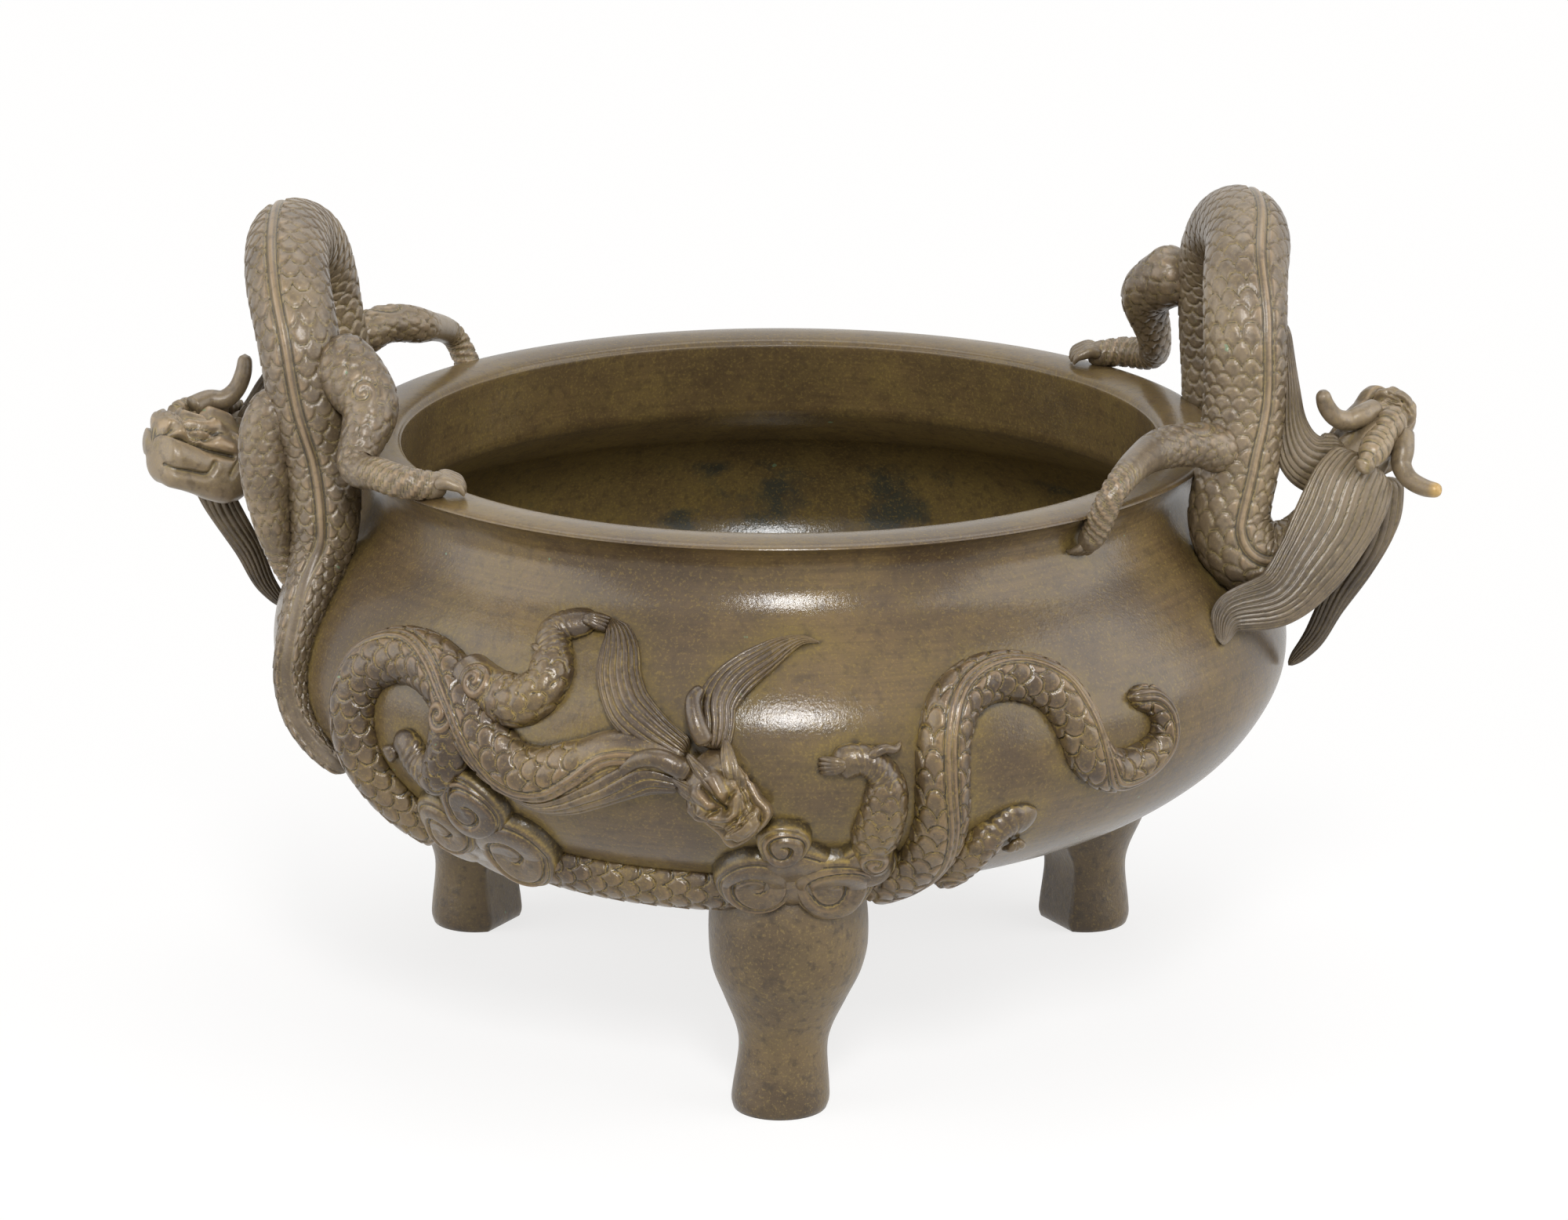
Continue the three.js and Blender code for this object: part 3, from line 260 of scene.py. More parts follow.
HIND_BODY_SHARES = [
    (12.5, 0.5, 1.04, 0.9, -0.5), (15.5, 0.55, 1, 1, -0.5), (17.3, 0.6, 0.96, 1, -0.45),
    (17.6, 0.65, 0.94, 1, -0.3), (17.3, 0.7, 0.92, 1, -0.1), (17.6, 0.75, 0.9, 1, 0),
    (19.4, 0.79, 0.88, 1, 0.1), (22.8, 0.81, 0.86, 1, 0.3), (27, 0.81, 0.84, 1, 0.5),
    (31, 0.79, 0.82, 1, 0.5), (33.2, 0.75, 0.8, 1, 0.55), (34.7, 0.71, 0.76, 0.95, 0.5),
    (38, 0.684, 0.7, 0.9, -0.4), (42, 0.685, 0.62, 0.85, -0.55), (45, 0.702, 0.54, 0.75, -0.5),
    (45.5, 0.73, 0.46, 0.65, -0.4), (44, 0.752, 0.42, 0.6, -0.3), (41, 0.762, 0.4, 0.55, 0),
]
FORELEG_UPPER_SHARES = [
    (-37.5, 0.8, 0.86, 1.02), (-33.3, 0.784, 0.9, 1), (-29.4, 0.777, 0.88, 0.98),
    (-26.6, 0.8, 0.8, 0.95), (-26.8, 0.835, 0.74, 0.85), (-27.8, 0.864, 0.64, 0.75),
    (-25.6, 0.879, 0.66, 0.6), (-22.8, 0.886, 0.5, 0.42),
]
FORELEG_LOWER_SHARES = [
    (-38.6, 0.775, 0.74, 0.95), (-37.4, 0.74, 0.8, 1), (-37.6, 0.705, 0.8, 1),
    (-39.4, 0.677, 0.76, 0.95), (-42, 0.683, 0.66, 0.8), (-43.8, 0.7, 0.66, 0.65),
    (-45.6, 0.694, 0.44, 0.45),
]
HINDLEG_UPPER_SHARES = [
    (11.4, 0.58, 0.74, 0.85), (10.4, 0.615, 0.82, 0.9), (10.7, 0.65, 0.84, 0.95),
    (11.2, 0.688, 0.74, 0.9), (10.8, 0.716, 0.62, 0.8), (8.9, 0.733, 0.6, 0.7), (6.7, 0.731, 0.64, 0.55),
    (5.4, 0.727, 0.4, 0.4),
]
HINDLEG_LOWER_SHARES = [
    (20, 0.53, 0.8, 0.8), (21.6, 0.565, 0.8, 0.9), (23, 0.6, 0.72, 0.85), (24.8, 0.626, 0.64, 0.72),
    (26.8, 0.633, 0.82, 0.55), (28.6, 0.62, 0.8, 0.38),
]
LOCK_UPPER_SHARES = [
    (-9.6, 0.738, 0.5, 0.75), (-13, 0.755, 0.7, 0.75), (-15.8, 0.778, 0.8, 0.72),
    (-17.2, 0.797, 0.8, 0.68), (-18.4, 0.823, 0.78, 0.62), (-18.9, 0.85, 0.68, 0.55),
    (-19.6, 0.87, 0.48, 0.48), (-21.2, 0.892, 0.14, 0.3),
]
LOCK_MIDDLE_SHARES = [
    (-6.8, 0.745, 0.5, 0.75), (-6.8, 0.77, 0.62, 0.72), (-6.9, 0.793, 0.68, 0.68),
    (-5.9, 0.814, 0.68, 0.62), (-4, 0.834, 0.62, 0.58), (-1.8, 0.851, 0.5, 0.5),
    (0.5, 0.866, 0.34, 0.42), (2.7, 0.874, 0.2, 0.32), (4.8, 0.871, 0.1, 0.22),
]
LOCK_LOWER_SHARES = [
    (-9.8, 0.714, 0.5, 0.8), (-13.8, 0.72, 0.84, 0.9), (-17, 0.711, 0.86, 0.9),
    (-19.8, 0.696, 0.76, 0.85), (-22.8, 0.68, 0.62, 0.78), (-26.2, 0.671, 0.46, 0.68),
    (-29.2, 0.674, 0.28, 0.56), (-31.8, 0.685, 0.14, 0.4),
]
# Degrees, share of the wall, lift and radius in shares of the relief's height
HORN_OUTER_SHARES = [
    (-9, 0.722, 0.7, 0.42), (-10.5, 0.73, 0.95, 0.42), (-12.3, 0.736, 1, 0.38),
    (-14.3, 0.733, 0.9, 0.33), (-15.9, 0.722, 0.75, 0.28), (-16.3, 0.709, 0.6, 0.22),
]
HORN_INNER_SHARES = [
    (-7.4, 0.75, 0.85, 0.37), (-8.5, 0.77, 0.95, 0.36), (-9.1, 0.792, 0.9, 0.31),
    (-8.3, 0.808, 0.75, 0.22),
]
# Feet in relief: degrees, share of the wall and lift, the way the claws point, their number and spread
RELIEF_FEET = [
    ("foreleg_upper", (-24.4, 0.881, 0.0022), 2, 4, 16),
    ("foreleg_lower", (-45, 0.696, 0.0024), 212, 4, 16),
    ("hindleg_upper", (7, 0.73, 0.0022), 184, 4, 16),
    ("hindleg_lower", (27.4, 0.609, 0.0024), -72, 3, 34),
]
CLAW_LENGTH = 0.0068
CLAW_RADIUS = 0.00115
TUFT_STRANDS = 5
RELIEF_HEAD_LENGTH = 0.0215
RELIEF_HEAD_HEIGHT = 0.0125
RELIEF_HEAD_WIDTH = 0.0135
RELIEF_HEAD_REAR = (-9, 0.73)
RELIEF_HEAD_SNOUT = (-3, 0.664)
RELIEF_HEAD_LIFT = 0.14
RELIEF_HEAD_RAISE = 18
# Tufts of hair: degrees, share of the wall, lift, half width, half thickness
TUFT_SHARES = [
    [(-5.4, 0.7, 1.2, 0.2, 0.14), (-6.8, 0.716, 1.3, 0.26, 0.16), (-8.2, 0.73, 1.1, 0.22, 0.16),
     (-9.4, 0.742, 0.8, 0.08, 0.1)],
    [(-4.4, 0.708, 1.1, 0.16, 0.12), (-4.8, 0.726, 1.2, 0.3, 0.12), (-5.3, 0.744, 0.9, 0.24, 0.12),
     (-5.6, 0.758, 0.6, 0.06, 0.08)],
    [(-6, 0.696, 1.1, 0.16, 0.14), (-7.8, 0.704, 1.2, 0.24, 0.16), (-9.6, 0.712, 1, 0.2, 0.14),
     (-11, 0.718, 0.8, 0.06, 0.08)],
]
# Spurs: degrees, share of the wall, lift, radius
SPUR_SHARES = [
    [(9, 0.736, 0.5, 0.2), (10.6, 0.745, 0.6, 0.2), (12, 0.744, 0.5, 0.16), (12.8, 0.752, 0.3, 0.08)],
    [(-26.8, 0.83, 0.5, 0.16), (-28.4, 0.836, 0.6, 0.16), (-29.6, 0.842, 0.4, 0.08)],
]

# Clouds
CLOUD_RADIUS = 0.013
CLOUD_HEIGHT = 0.005
SCROLL_TURNS = 2
SCROLL_DEPTH = 0.001
CLOUD_COLUMNS = 144
CLOUD_RINGS = 54
# Degrees, share of the wall, radius share, height share, turn of the scroll (0 for none), tilt
CLOUD_LEFT_SHARES = [
    (-45, 0.555, 0.85, 0.9, 0, 0.2), (-39.5, 0.52, 1.0, 0.95, 0, 0.2), (-48.5, 0.51, 0.8, 0.9, 0, 0.1),
    (-35.8, 0.642, 0.76, 1.05, 1, 0.2), (-41.5, 0.598, 0.7, 1.15, -1, 0.35),
    (-32.8, 0.577, 0.92, 1.1, -1, 0.45),
]
CLOUD_FRONT_SHARES = [
    (1.8, 0.57, 0.9, 1, 0, 0.3), (10, 0.588, 0.6, 0.9, 0, 0.3), (0.4, 0.632, 0.5, 1.1, 1, 0.2),
    (-2.8, 0.562, 0.78, 1.2, -1, 0.55), (6.3, 0.558, 0.86, 1.25, 1, 0.6),
]

# Lines on one side of a head: forward, sideways, up; then their width and rise in shares of its width
HEAD_SWELLS = [
    ([(0.82, 0.28, 0.44), (0.66, 0.4, 0.46), (0.46, 0.44, 0.47)], 0.13, 0.13),
    ([(0.69, 0.44, 0.3), (0.57, 0.5, 0.3)], 0.09, 0.11),
    ([(0.5, 0.54, 0.2), (0.37, 0.54, 0.12)], 0.15, 0.11),
    ([(0.98, 0.2, 0.3), (0.9, 0.36, 0.29), (0.82, 0.42, 0.26)], 0.15, 0.1),
    ([(0.98, 0.34, 0.11), (0.84, 0.44, 0.11), (0.66, 0.48, 0.13)], 0.09, 0.05),
    ([(0.96, 0.3, -0.18), (0.8, 0.42, -0.2), (0.62, 0.48, -0.22)], 0.24, 0.08),
    ([(0.85, 0.2, -0.64), (0.6, 0.34, -0.68), (0.3, 0.38, -0.68)], 0.22, 0.09),
    ([(0.26, 0.5, 0.3), (0.12, 0.52, 0.2), (0.1, 0.5, 0.0)], 0.11, 0.08),
    ([(0.72, 0.08, 0.42), (0.64, 0.26, 0.48), (0.5, 0.4, 0.46)], 0.09, 0.15),
    ([(0.46, 0.14, 0.5), (0.28, 0.2, 0.46)], 0.14, 0.12),
    ([(0.94, 0.08, 0.2), (0.8, 0.1, 0.3), (0.7, 0.1, 0.38)], 0.11, 0.09),
]
HEAD_GROOVES = [
    ([(0.78, 0.36, 0.38), (0.64, 0.5, 0.39), (0.5, 0.54, 0.34)], 0.05, 0.11),
    ([(0.74, 0.44, 0.2), (0.62, 0.52, 0.2), (0.52, 0.54, 0.26)], 0.045, 0.07),
    ([(1, 0.15, 0.02), (0.9, 0.42, 0.05), (0.72, 0.48, 0.07), (0.54, 0.54, 0.0), (0.34, 0.56, -0.02)],
     0.05, 0.16),
    ([(0.81, 0.12, 0.44), (0.78, 0.38, 0.36), (0.75, 0.46, 0.2), (0.68, 0.48, 0.15)], 0.05, 0.09),
    ([(0.95, 0.3, -0.44), (0.75, 0.46, -0.47), (0.58, 0.5, -0.4), (0.52, 0.54, -0.2)], 0.06, 0.09),
    ([(0.3, 0.54, 0.36), (0.22, 0.56, 0.2), (0.24, 0.54, 0.0), (0.34, 0.5, -0.3)], 0.05, 0.06),
    ([(0.85, 0.02, 0.3), (0.83, 0.26, 0.28)], 0.035, 0.07),
    ([(0.77, 0.02, 0.34), (0.76, 0.26, 0.34)], 0.035, 0.07),
    ([(0.6, 0.02, 0.5), (0.3, 0.02, 0.48)], 0.06, 0.09),
    ([(0.56, 0.1, 0.5), (0.54, 0.34, 0.48)], 0.05, 0.1),
]
HEAD_NOSTRIL = [([(0.92, 0.4, 0.2), (0.92, 0.4, 0.2)], 0.07, 0.14)]
HEAD_EYE = (0.63, 0.47, 0.3)

# Chased detail
CURVE_STEPS = 40
FINE_STEP = 0.0004
LIMB_STEP = FINE_STEP * 1.5
TRUNK_STEP = FINE_STEP * 1.15
SCALE_PITCH = 0.0031
LEG_SCALE_PITCH = 0.0029
SCALE_RISE = 0.0009
SCALES_PER_SIDE = 6
RELIEF_SCALE_WIDTH = 0.0047
RELIEF_SCALE_PITCH = 0.0038
RIDGE_BORDER = 0.0016
RIDGE_HALF_WIDTH = 0.00095
RIDGE_RISE = 0.0008
STRAND_DEPTH = 0.001
COIL_TURNS = 1.7
TRUNK_COLUMNS = 144
TRUNK_ALLOWANCE = 0.0005
# Over how far a hollow is seen as one, and the depths at which a groove counts as a full hollow
SOFTENING_PASSES = 14
FINE_DEPTH = 0.00028
TRUNK_DEPTH = 0.0004
FACE_DEPTH = 0.0005
# How far a relief band's root is rounded off, and how deep a relief sinks into the wall
BAND_ROOT = 0.002
SINK = 0.0008

# Colours and the height of the metal's grain
BARE_METAL = (0.4, 0.25, 0.075)
SOOT = (0.018, 0.022, 0.016)
VERDIGRIS = (0.12, 0.21, 0.12)
GRAIN_DEPTH = 0.00011

# Studio: place of each softbox, what it faces, width and height, watts
SOFTBOXES = {
    "top_softbox": ((0, 0.4, 1.3), (0, 0, 0.05), (1.1, 0.8), 6),
    "front_softbox": ((0.06, -1.26, 1.04), (0, 0, 0.1), (0.27, 0.42), 17),
    "left_softbox": ((-1.3, -0.4, 0.7), (0, 0, 0.1), (1.4, 1.4), 13.5),
    "right_softbox": ((1.3, -0.3, 0.7), (0, 0, 0.1), (1.4, 1.4), 15.5),
}
FLOOR_SIZE = 12
CAMERA_SENSOR = 36
CAMERA_LENS = 144.9
CAMERA_PLACE = (0.00096, -1.5, 0.5307)
CAMERA_PITCH = 0.282


def smooth(low, high, value):
    share = np.clip((value - low) / (high - low), 0, 1)
    return share * share * (3 - 2 * share)


def columns_at(rows, shares):
    """Values of a table's columns between its rows, on a smooth curve."""
    rows = np.asarray(rows, float)
    last = len(rows) - 1
    place = np.asarray(shares, float) * last
    start = np.minimum(np.floor(place).astype(int), last - 1)
    part = (place - start)[:, None]
    p0, p1, p2, p3 = (rows[np.clip(start + k, 0, last)] for k in (-1, 0, 1, 2))
    bend = (2 * p1 - 2 * p2 + (p2 - p0) / 2 + (p3 - p1) / 2) * part**3
    ease = (3 * p2 - 3 * p1 - (p2 - p0) - (p3 - p1) / 2) * part**2
    return bend + ease + ((p2 - p0) / 2) * part + p1


def unit(vectors):
    return vectors / np.maximum(np.linalg.norm(vectors, axis=-1, keepdims=True), 1e-12)


def run_of(points):
    """Distance along a line of points."""
    return np.concatenate([[0], np.cumsum(np.linalg.norm(np.diff(points, axis=0), axis=1))])


def evenly(rows, where, step):
    """A table's rows at even steps of the line that its places make, and the distance along it."""
    fine = columns_at(rows, np.linspace(0, 1, CURVE_STEPS * len(rows)))
    run = run_of(where(fine))
    count = max(int(run[-1] / step), 6)
    at = np.linspace(0, run[-1], count + 1)
    return np.stack([np.interp(at, run, column) for column in fine.T], axis=1), at


def around(columns):
    """Angles at even steps round a piece."""
    return np.linspace(0, 2 * math.pi, columns, endpoint=False)[None]


def signed(angles):
    """Angles counted both ways from 0."""
    return np.mod(angles + math.pi, 2 * math.pi) - math.pi


def wall_line():
    """Outline of the outer wall, from the centre of the underside to the lip."""
    stretches = (
        (LOWER_WALL_SHARES, 0, BELLY_RADIUS, UNDERSIDE_LEVEL, BELLY_LEVEL),
        (SHOULDER_SHARES, NECK_RADIUS, BELLY_RADIUS, BELLY_LEVEL, NECK_LEVEL),
        (LIP_SHARES, NECK_RADIUS, LIP_RADIUS, NECK_LEVEL, RIM_LEVEL),
    )
    return [
        (near + radius * (far - near), low + height * (high - low))
        for shares, near, far, low, high in stretches
        for radius, height in shares
    ]


wall_points = columns_at(wall_line(), np.linspace(0, 1, WALL_STATIONS))
wall_run = run_of(wall_points)
WALL_LENGTH = wall_run[-1]
wall_shares = wall_run / WALL_LENGTH
wall_tangents = unit(np.gradient(wall_points, axis=0))


def wall_at(share, lift=0):
    """Radius and height of the wall at a share of its length, moved off along its outward normal."""
    along = [np.interp(share, wall_shares, wall_tangents[:, k]) for k in (0, 1)]
    radius = np.interp(share, wall_shares, wall_points[:, 0]) + lift * along[1]
    height = np.interp(share, wall_shares, wall_points[:, 1]) - lift * along[0]
    return radius, height


def round_bowl(degrees, radius, height):
    """Places at these degrees round the bowl's axis."""
    turn = np.radians(degrees)
    return np.stack(np.broadcast_arrays(radius * np.sin(turn), -radius * np.cos(turn), height), axis=-1)


def on_wall(degrees, share, lift=0):
    radius, height = wall_at(share, lift)
    return round_bowl(degrees, radius, height)


def wall_normal(degrees, share):
    return unit(on_wall(degrees, share, 0.001) - on_wall(degrees, share))


def kept_out(places, depth):
    """Moves what lies deeper in the wall than this depth back out to it."""
    radius = np.hypot(places[..., 0], places[..., 1])
    line = wall_points[::COARSE_STEP]
    along = wall_tangents[::COARSE_STEP]
    away = (radius[..., None] - line[:, 0]) ** 2 + (places[..., 2:3] - line[:, 1]) ** 2
    nearest = away.argmin(axis=-1)
    out = along[nearest][..., 1], -along[nearest][..., 0]
    level = (radius - line[nearest][..., 0]) * out[0] + (places[..., 2] - line[nearest][..., 1]) * out[1]
    push = np.maximum(-depth - level, 0)
    moved = places.copy()
    moved[..., :2] *= ((radius + push * out[0]) / radius)[..., None]
    moved[..., 2] += push * out[1]
    return moved


def turned(places, degrees):
    turn = math.radians(degrees)
    rotation = np.array([
        [math.cos(turn), -math.sin(turn), 0],
        [math.sin(turn), math.cos(turn), 0],
        [0, 0, 1],
    ])
    return places @ rotation.T


def softened(field):
    """A field that wraps round its columns, with its steps evened out."""
    for _ in range(SOFTENING_PASSES):
        field = (np.roll(field, 1, axis=1) + 2 * field + np.roll(field, -1, axis=1)) / 4
        padded = np.concatenate([field[:1], field, field[-1:]])
        field = (padded[:-2] + 2 * field + padded[2:]) / 4
    return field


def hollows(lift, depth):
    """How far each place lies under its surroundings: 0 on raised parts, 1 in grooves of this depth."""
    return np.clip(0.5 + (softened(lift) - lift) / (2 * depth), 0, 1)


# Pieces
def skin(name, places, hollow, metal, nodes=(), soot=None, bare=None):
    """One closed piece over a grid of places whose columns run round it and whose ends are points.

    Metal is a material and its slot, and the slot is not used. Soot and bare hold a value for each row: how
    sooty it is, and how far it is rubbed to bright metal.
    """
    material, slot = metal
    places = np.concatenate([places, places[:, :1]], axis=1)
    hollow = np.concatenate([hollow, hollow[:, :1]], axis=1)
    rows, columns = places.shape[:2]
    sheet = bmesh.new()
    bmesh.ops.create_grid(sheet, x_segments=columns - 1, y_segments=rows - 1, size=1)
    mesh = bpy.data.meshes.new(name)
    sheet.to_mesh(mesh)
    sheet.free()
    flat = np.empty(len(mesh.vertices) * 3, np.float32)
    mesh.vertices.foreach_get("co", flat)
    flat = flat.reshape(-1, 3)
    column = np.rint((flat[:, 0] + 1) / 2 * (columns - 1)).astype(int)
    row = np.rint((flat[:, 1] + 1) / 2 * (rows - 1)).astype(int)
    mesh.vertices.foreach_set("co", places[row, column].astype(np.float32).ravel())
    marks = {"hollow": hollow[row, column]}
    marks |= {mark: values[row] for mark, values in (("soot", soot), ("bare", bare)) if values is not None}
    for mark, values in marks.items():
        attribute = mesh.attributes.new(mark, "FLOAT", "POINT")
        attribute.data.foreach_set("value", values.astype(np.float32))
    body = bmesh.new()
    body.from_mesh(mesh)
    rims = [corner for corner in body.verts if corner.is_boundary]
    bmesh.ops.remove_doubles(body, verts=rims, dist=1e-7)
    bmesh.ops.recalc_face_normals(body, faces=body.faces)
    for face in body.faces:
        face.smooth = True
    body.to_mesh(mesh)
    body.free()
    piece = bpy.data.objects.new(name, mesh)
    bpy.context.scene.collection.objects.link(piece)
    mesh.materials.append(material)
    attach(piece, "root")
    if nodes:
        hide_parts(*nodes)


def pinched(places, hollow):
    """Adds a point at each end, so that the skin closes."""
    first, last = (
        np.repeat(end.mean(axis=1, keepdims=True), places.shape[1], axis=1)
        for end in (places[:1], places[-1:])
    )
    return np.concatenate([first, places, last]), np.concatenate([hollow[:1], hollow, hollow[-1:]])


def rounding(run, start, end):
    """Shares that round off the two ends of a limb over these distances."""
    shares = np.ones_like(run)
    for distance, reach in ((run, start), (run[-1] - run, end)):
        if reach > 0:
            shares *= np.sqrt(np.clip(1 - np.clip(1 - distance / reach, 0, 1) ** 2, 0, 1))
    return shares


# Chased patterns. Each gives a height from 0 to 1.
def cord(offset, half_width):
    return np.sqrt(np.clip(1 - (offset / half_width) ** 2, 0, 1))


def scales(across, along, soft=0.05):
    """Overlapping scales, across in widths and along in rows, with free ends towards more along."""
    height = np.full(np.broadcast(across, along).shape, 0.5)
    groove = np.zeros_like(height)
    for ahead in (1, 0, -1, -2):
        row = np.floor(along) + ahead
        down = along - row
        sideways = np.mod(across - 0.5 * np.mod(row, 2), 1) - 0.5
        inside = 1 - ((np.abs(sideways) / 0.53) ** 2.3 + (np.maximum(down, 0) / 1.36) ** 2.3) ** (1 / 2.3)
        inside = np.where(down < -1.2, -1, inside)
        mask = smooth(-soft, soft, inside)
        tilt = 0.66 + 0.34 * np.clip((down + 0.6) / 2.2, 0, 1) - 0.1 * sideways**2
        line = np.exp(-(((inside + 0.07) / 0.06) ** 2)) * (down > -0.2)
        groove = np.maximum(groove, line) * (1 - mask)
        height = height * (1 - mask) + tilt * mask
    return height - 0.8 * groove


def coil(across, along, reach):
    """A flat coil of one cord round a centre, and how much of the surface it takes."""
    away = np.hypot(across, along) / reach
    wind = np.mod(np.arctan2(along, across) / (2 * math.pi) + COIL_TURNS * np.clip(away, 0, 1), 1) - 0.5
    return cord(wind, 0.42), 1 - smooth(0.8, 1, away)


def strands(across, count, along):
    """Fine strands that run along a lock and wander a little."""
    phase = across * count + 0.25 * np.sin(along * 260) + 0.3 * np.sin(along * 90 + across * 3)
    fine = np.abs(np.sin(math.pi * phase)) ** 0.42
    broad = np.abs(np.sin(math.pi * phase / 3 + 0.6)) ** 0.5
    return 0.75 * fine + 0.25 * broad


def strands_round(angles, count, along):
    """Strands round a whole lock, alike on its two faces."""
    return strands(np.abs(np.mod(angles, 2 * math.pi) - math.pi) / math.pi, count, along)


def creases(across, along, pitch, slant=0.0):
    """Soft folds of skin across a limb."""
    return cord(np.mod(along / pitch + slant * across, 1) - 0.5, 0.22)


# Free limbs
def limb_line(places, sizes, facing, step):
    """Even stations of a limb, with the direction that each one faces.

    Sizes are radii, or half widths and half thicknesses.
    """
    widths, thicknesses = np.broadcast_to(sizes, (2, len(places)))
    rows = np.column_stack([places, widths, thicknesses, np.broadcast_to(facing, (len(places), 3))])
    fine, run = evenly(rows, lambda table: table[:, :3], step)
    centre = fine[:, :3]
    tangent = unit(np.gradient(centre, axis=0))
    facing = fine[:, 5:8]
    facing = unit(facing - (facing * tangent).sum(1, keepdims=True) * tangent)
    return {
        "centre": centre, "facing": facing, "across": np.cross(tangent, facing),
        "width": fine[:, 3:4], "thickness": fine[:, 4:5], "run": run,
    }


def limb_skin(line, angles, lift):
    """Places of a limb's skin. Angles count from the side that it faces."""
    out = line["facing"][:, None] * ((line["thickness"] + lift) * np.cos(angles))[..., None]
    side = line["across"][:, None] * ((line["width"] + lift) * np.sin(angles))[..., None]
    return line["centre"][:, None] + out + side


def plain_limb(name, turn, metal, places, sizes, facing, ends, columns, nodes=(), pattern=None, rubbed=0,
               dust_and_shade=0):
    """A limb with rounded ends. Rubbed is the length at its tip that is worn to bright metal."""
    line = limb_line(places, sizes, facing, LIMB_STEP)
    shares = rounding(line["run"], *ends)[:, None]
    line["width"] = line["width"] * shares
    line["thickness"] = line["thickness"] * shares
    angles = around(columns)
    lift = np.zeros((len(shares), columns))
    if pattern:
        lift = lift + pattern(angles, line["run"][:, None], line) * shares
    # The last argument raises the whole limb's hollowness: more ochre dust, and more painted shade in its
    # grooves
    hollow = np.clip(hollows(lift, FINE_DEPTH) + dust_and_shade, 0, 1)
    places, hollow = pinched(limb_skin(line, angles, lift), hollow)
    bare = None
    if rubbed > 0:
        run = np.concatenate([[0], line["run"], line["run"][-1:]])
        bare = smooth(-rubbed, -0.3 * rubbed, run - run[-1])
    skin(name, turned(places, turn), hollow, metal, nodes, bare=bare)


# Patterns of the bands on the wall, in metres. Sideways runs from -1 to 1, and half is the half width
def girth_angle(sideways):
    """Angle round a band's arched top."""
    return np.arcsin(np.clip(sideways, -1, 1))


def body_pattern(plain_length=0):
    """Scales and a double ridge cord. The scales start beyond a plain stretch."""

    def pattern(sideways, run, table, half):
        offset = (girth_angle(sideways) - girth_angle(table[:, 4:5])) * half
        away = np.abs(offset)
        number = (away - RIDGE_BORDER) / RELIEF_SCALE_WIDTH
        lift = SCALE_RISE * scales(number, run / RELIEF_SCALE_PITCH) * smooth(RIDGE_BORDER, 0.0022, away)
        if plain_length > 0:
            lift = lift * smooth(plain_length, plain_length + 0.008, run)
        pair = np.maximum(cord(offset - 0.0007, 0.00068), cord(offset + 0.0007, 0.00068))
        return np.maximum(lift, RIDGE_RISE * pair * (away < 0.0015))

    return pattern


def lock_pattern(count):
    """So many strands side by side."""

    def pattern(sideways, run, table, half):
        wave = strands(girth_angle(sideways) / math.pi + 0.5, count, run)
        return STRAND_DEPTH * wave * np.clip(half / 0.0025, 0.2, 1) - STRAND_DEPTH / 2

    return pattern


def leg_pattern(sideways, run, table, half):
    """A coil on the shoulder, scales down to the knee, then smooth skin with folds at the wrist."""
    offset = girth_angle(sideways) * half
    length = run.max()
    share = run / length
    cover, where = coil(offset, run - 0.16 * length, 0.0042)
    fade = smooth(0.2, 0.28, share) * (1 - smooth(0.6, 0.72, share))
    lift = 0.8 * SCALE_RISE * scales(offset / 0.0036, run / LEG_SCALE_PITCH) * fade
    lift = lift * (1 - where) + 0.0009 * cover * where
    folds = creases(offset, run, 0.0016, 150.0) * smooth(0.6, 0.68, share) * (1 - smooth(0.85, 0.9, share))
    return lift - 0.0002 * folds


# Materials
def add_node(tree, kind, inputs, output=0, **settings):
    """Makes a shader node, feeds its inputs and gives one of its outputs."""
    node = tree.nodes.new(f"ShaderNode{kind}")
    for setting, value in settings.items():
        setattr(node, setting, value)
    feed(tree, node, inputs)
    return node.outputs[output]


def feed(tree, node, inputs):
    """Links a node's inputs, by name or number, to other nodes' outputs, or gives them plain values."""
    for socket, value in inputs.items():
        if isinstance(value, bpy.types.NodeSocket):
            tree.links.new(value, node.inputs[socket])
        else:
            node.inputs[socket].default_value = value


def scaled(tone, share):
    return tuple(part * share for part in tone)


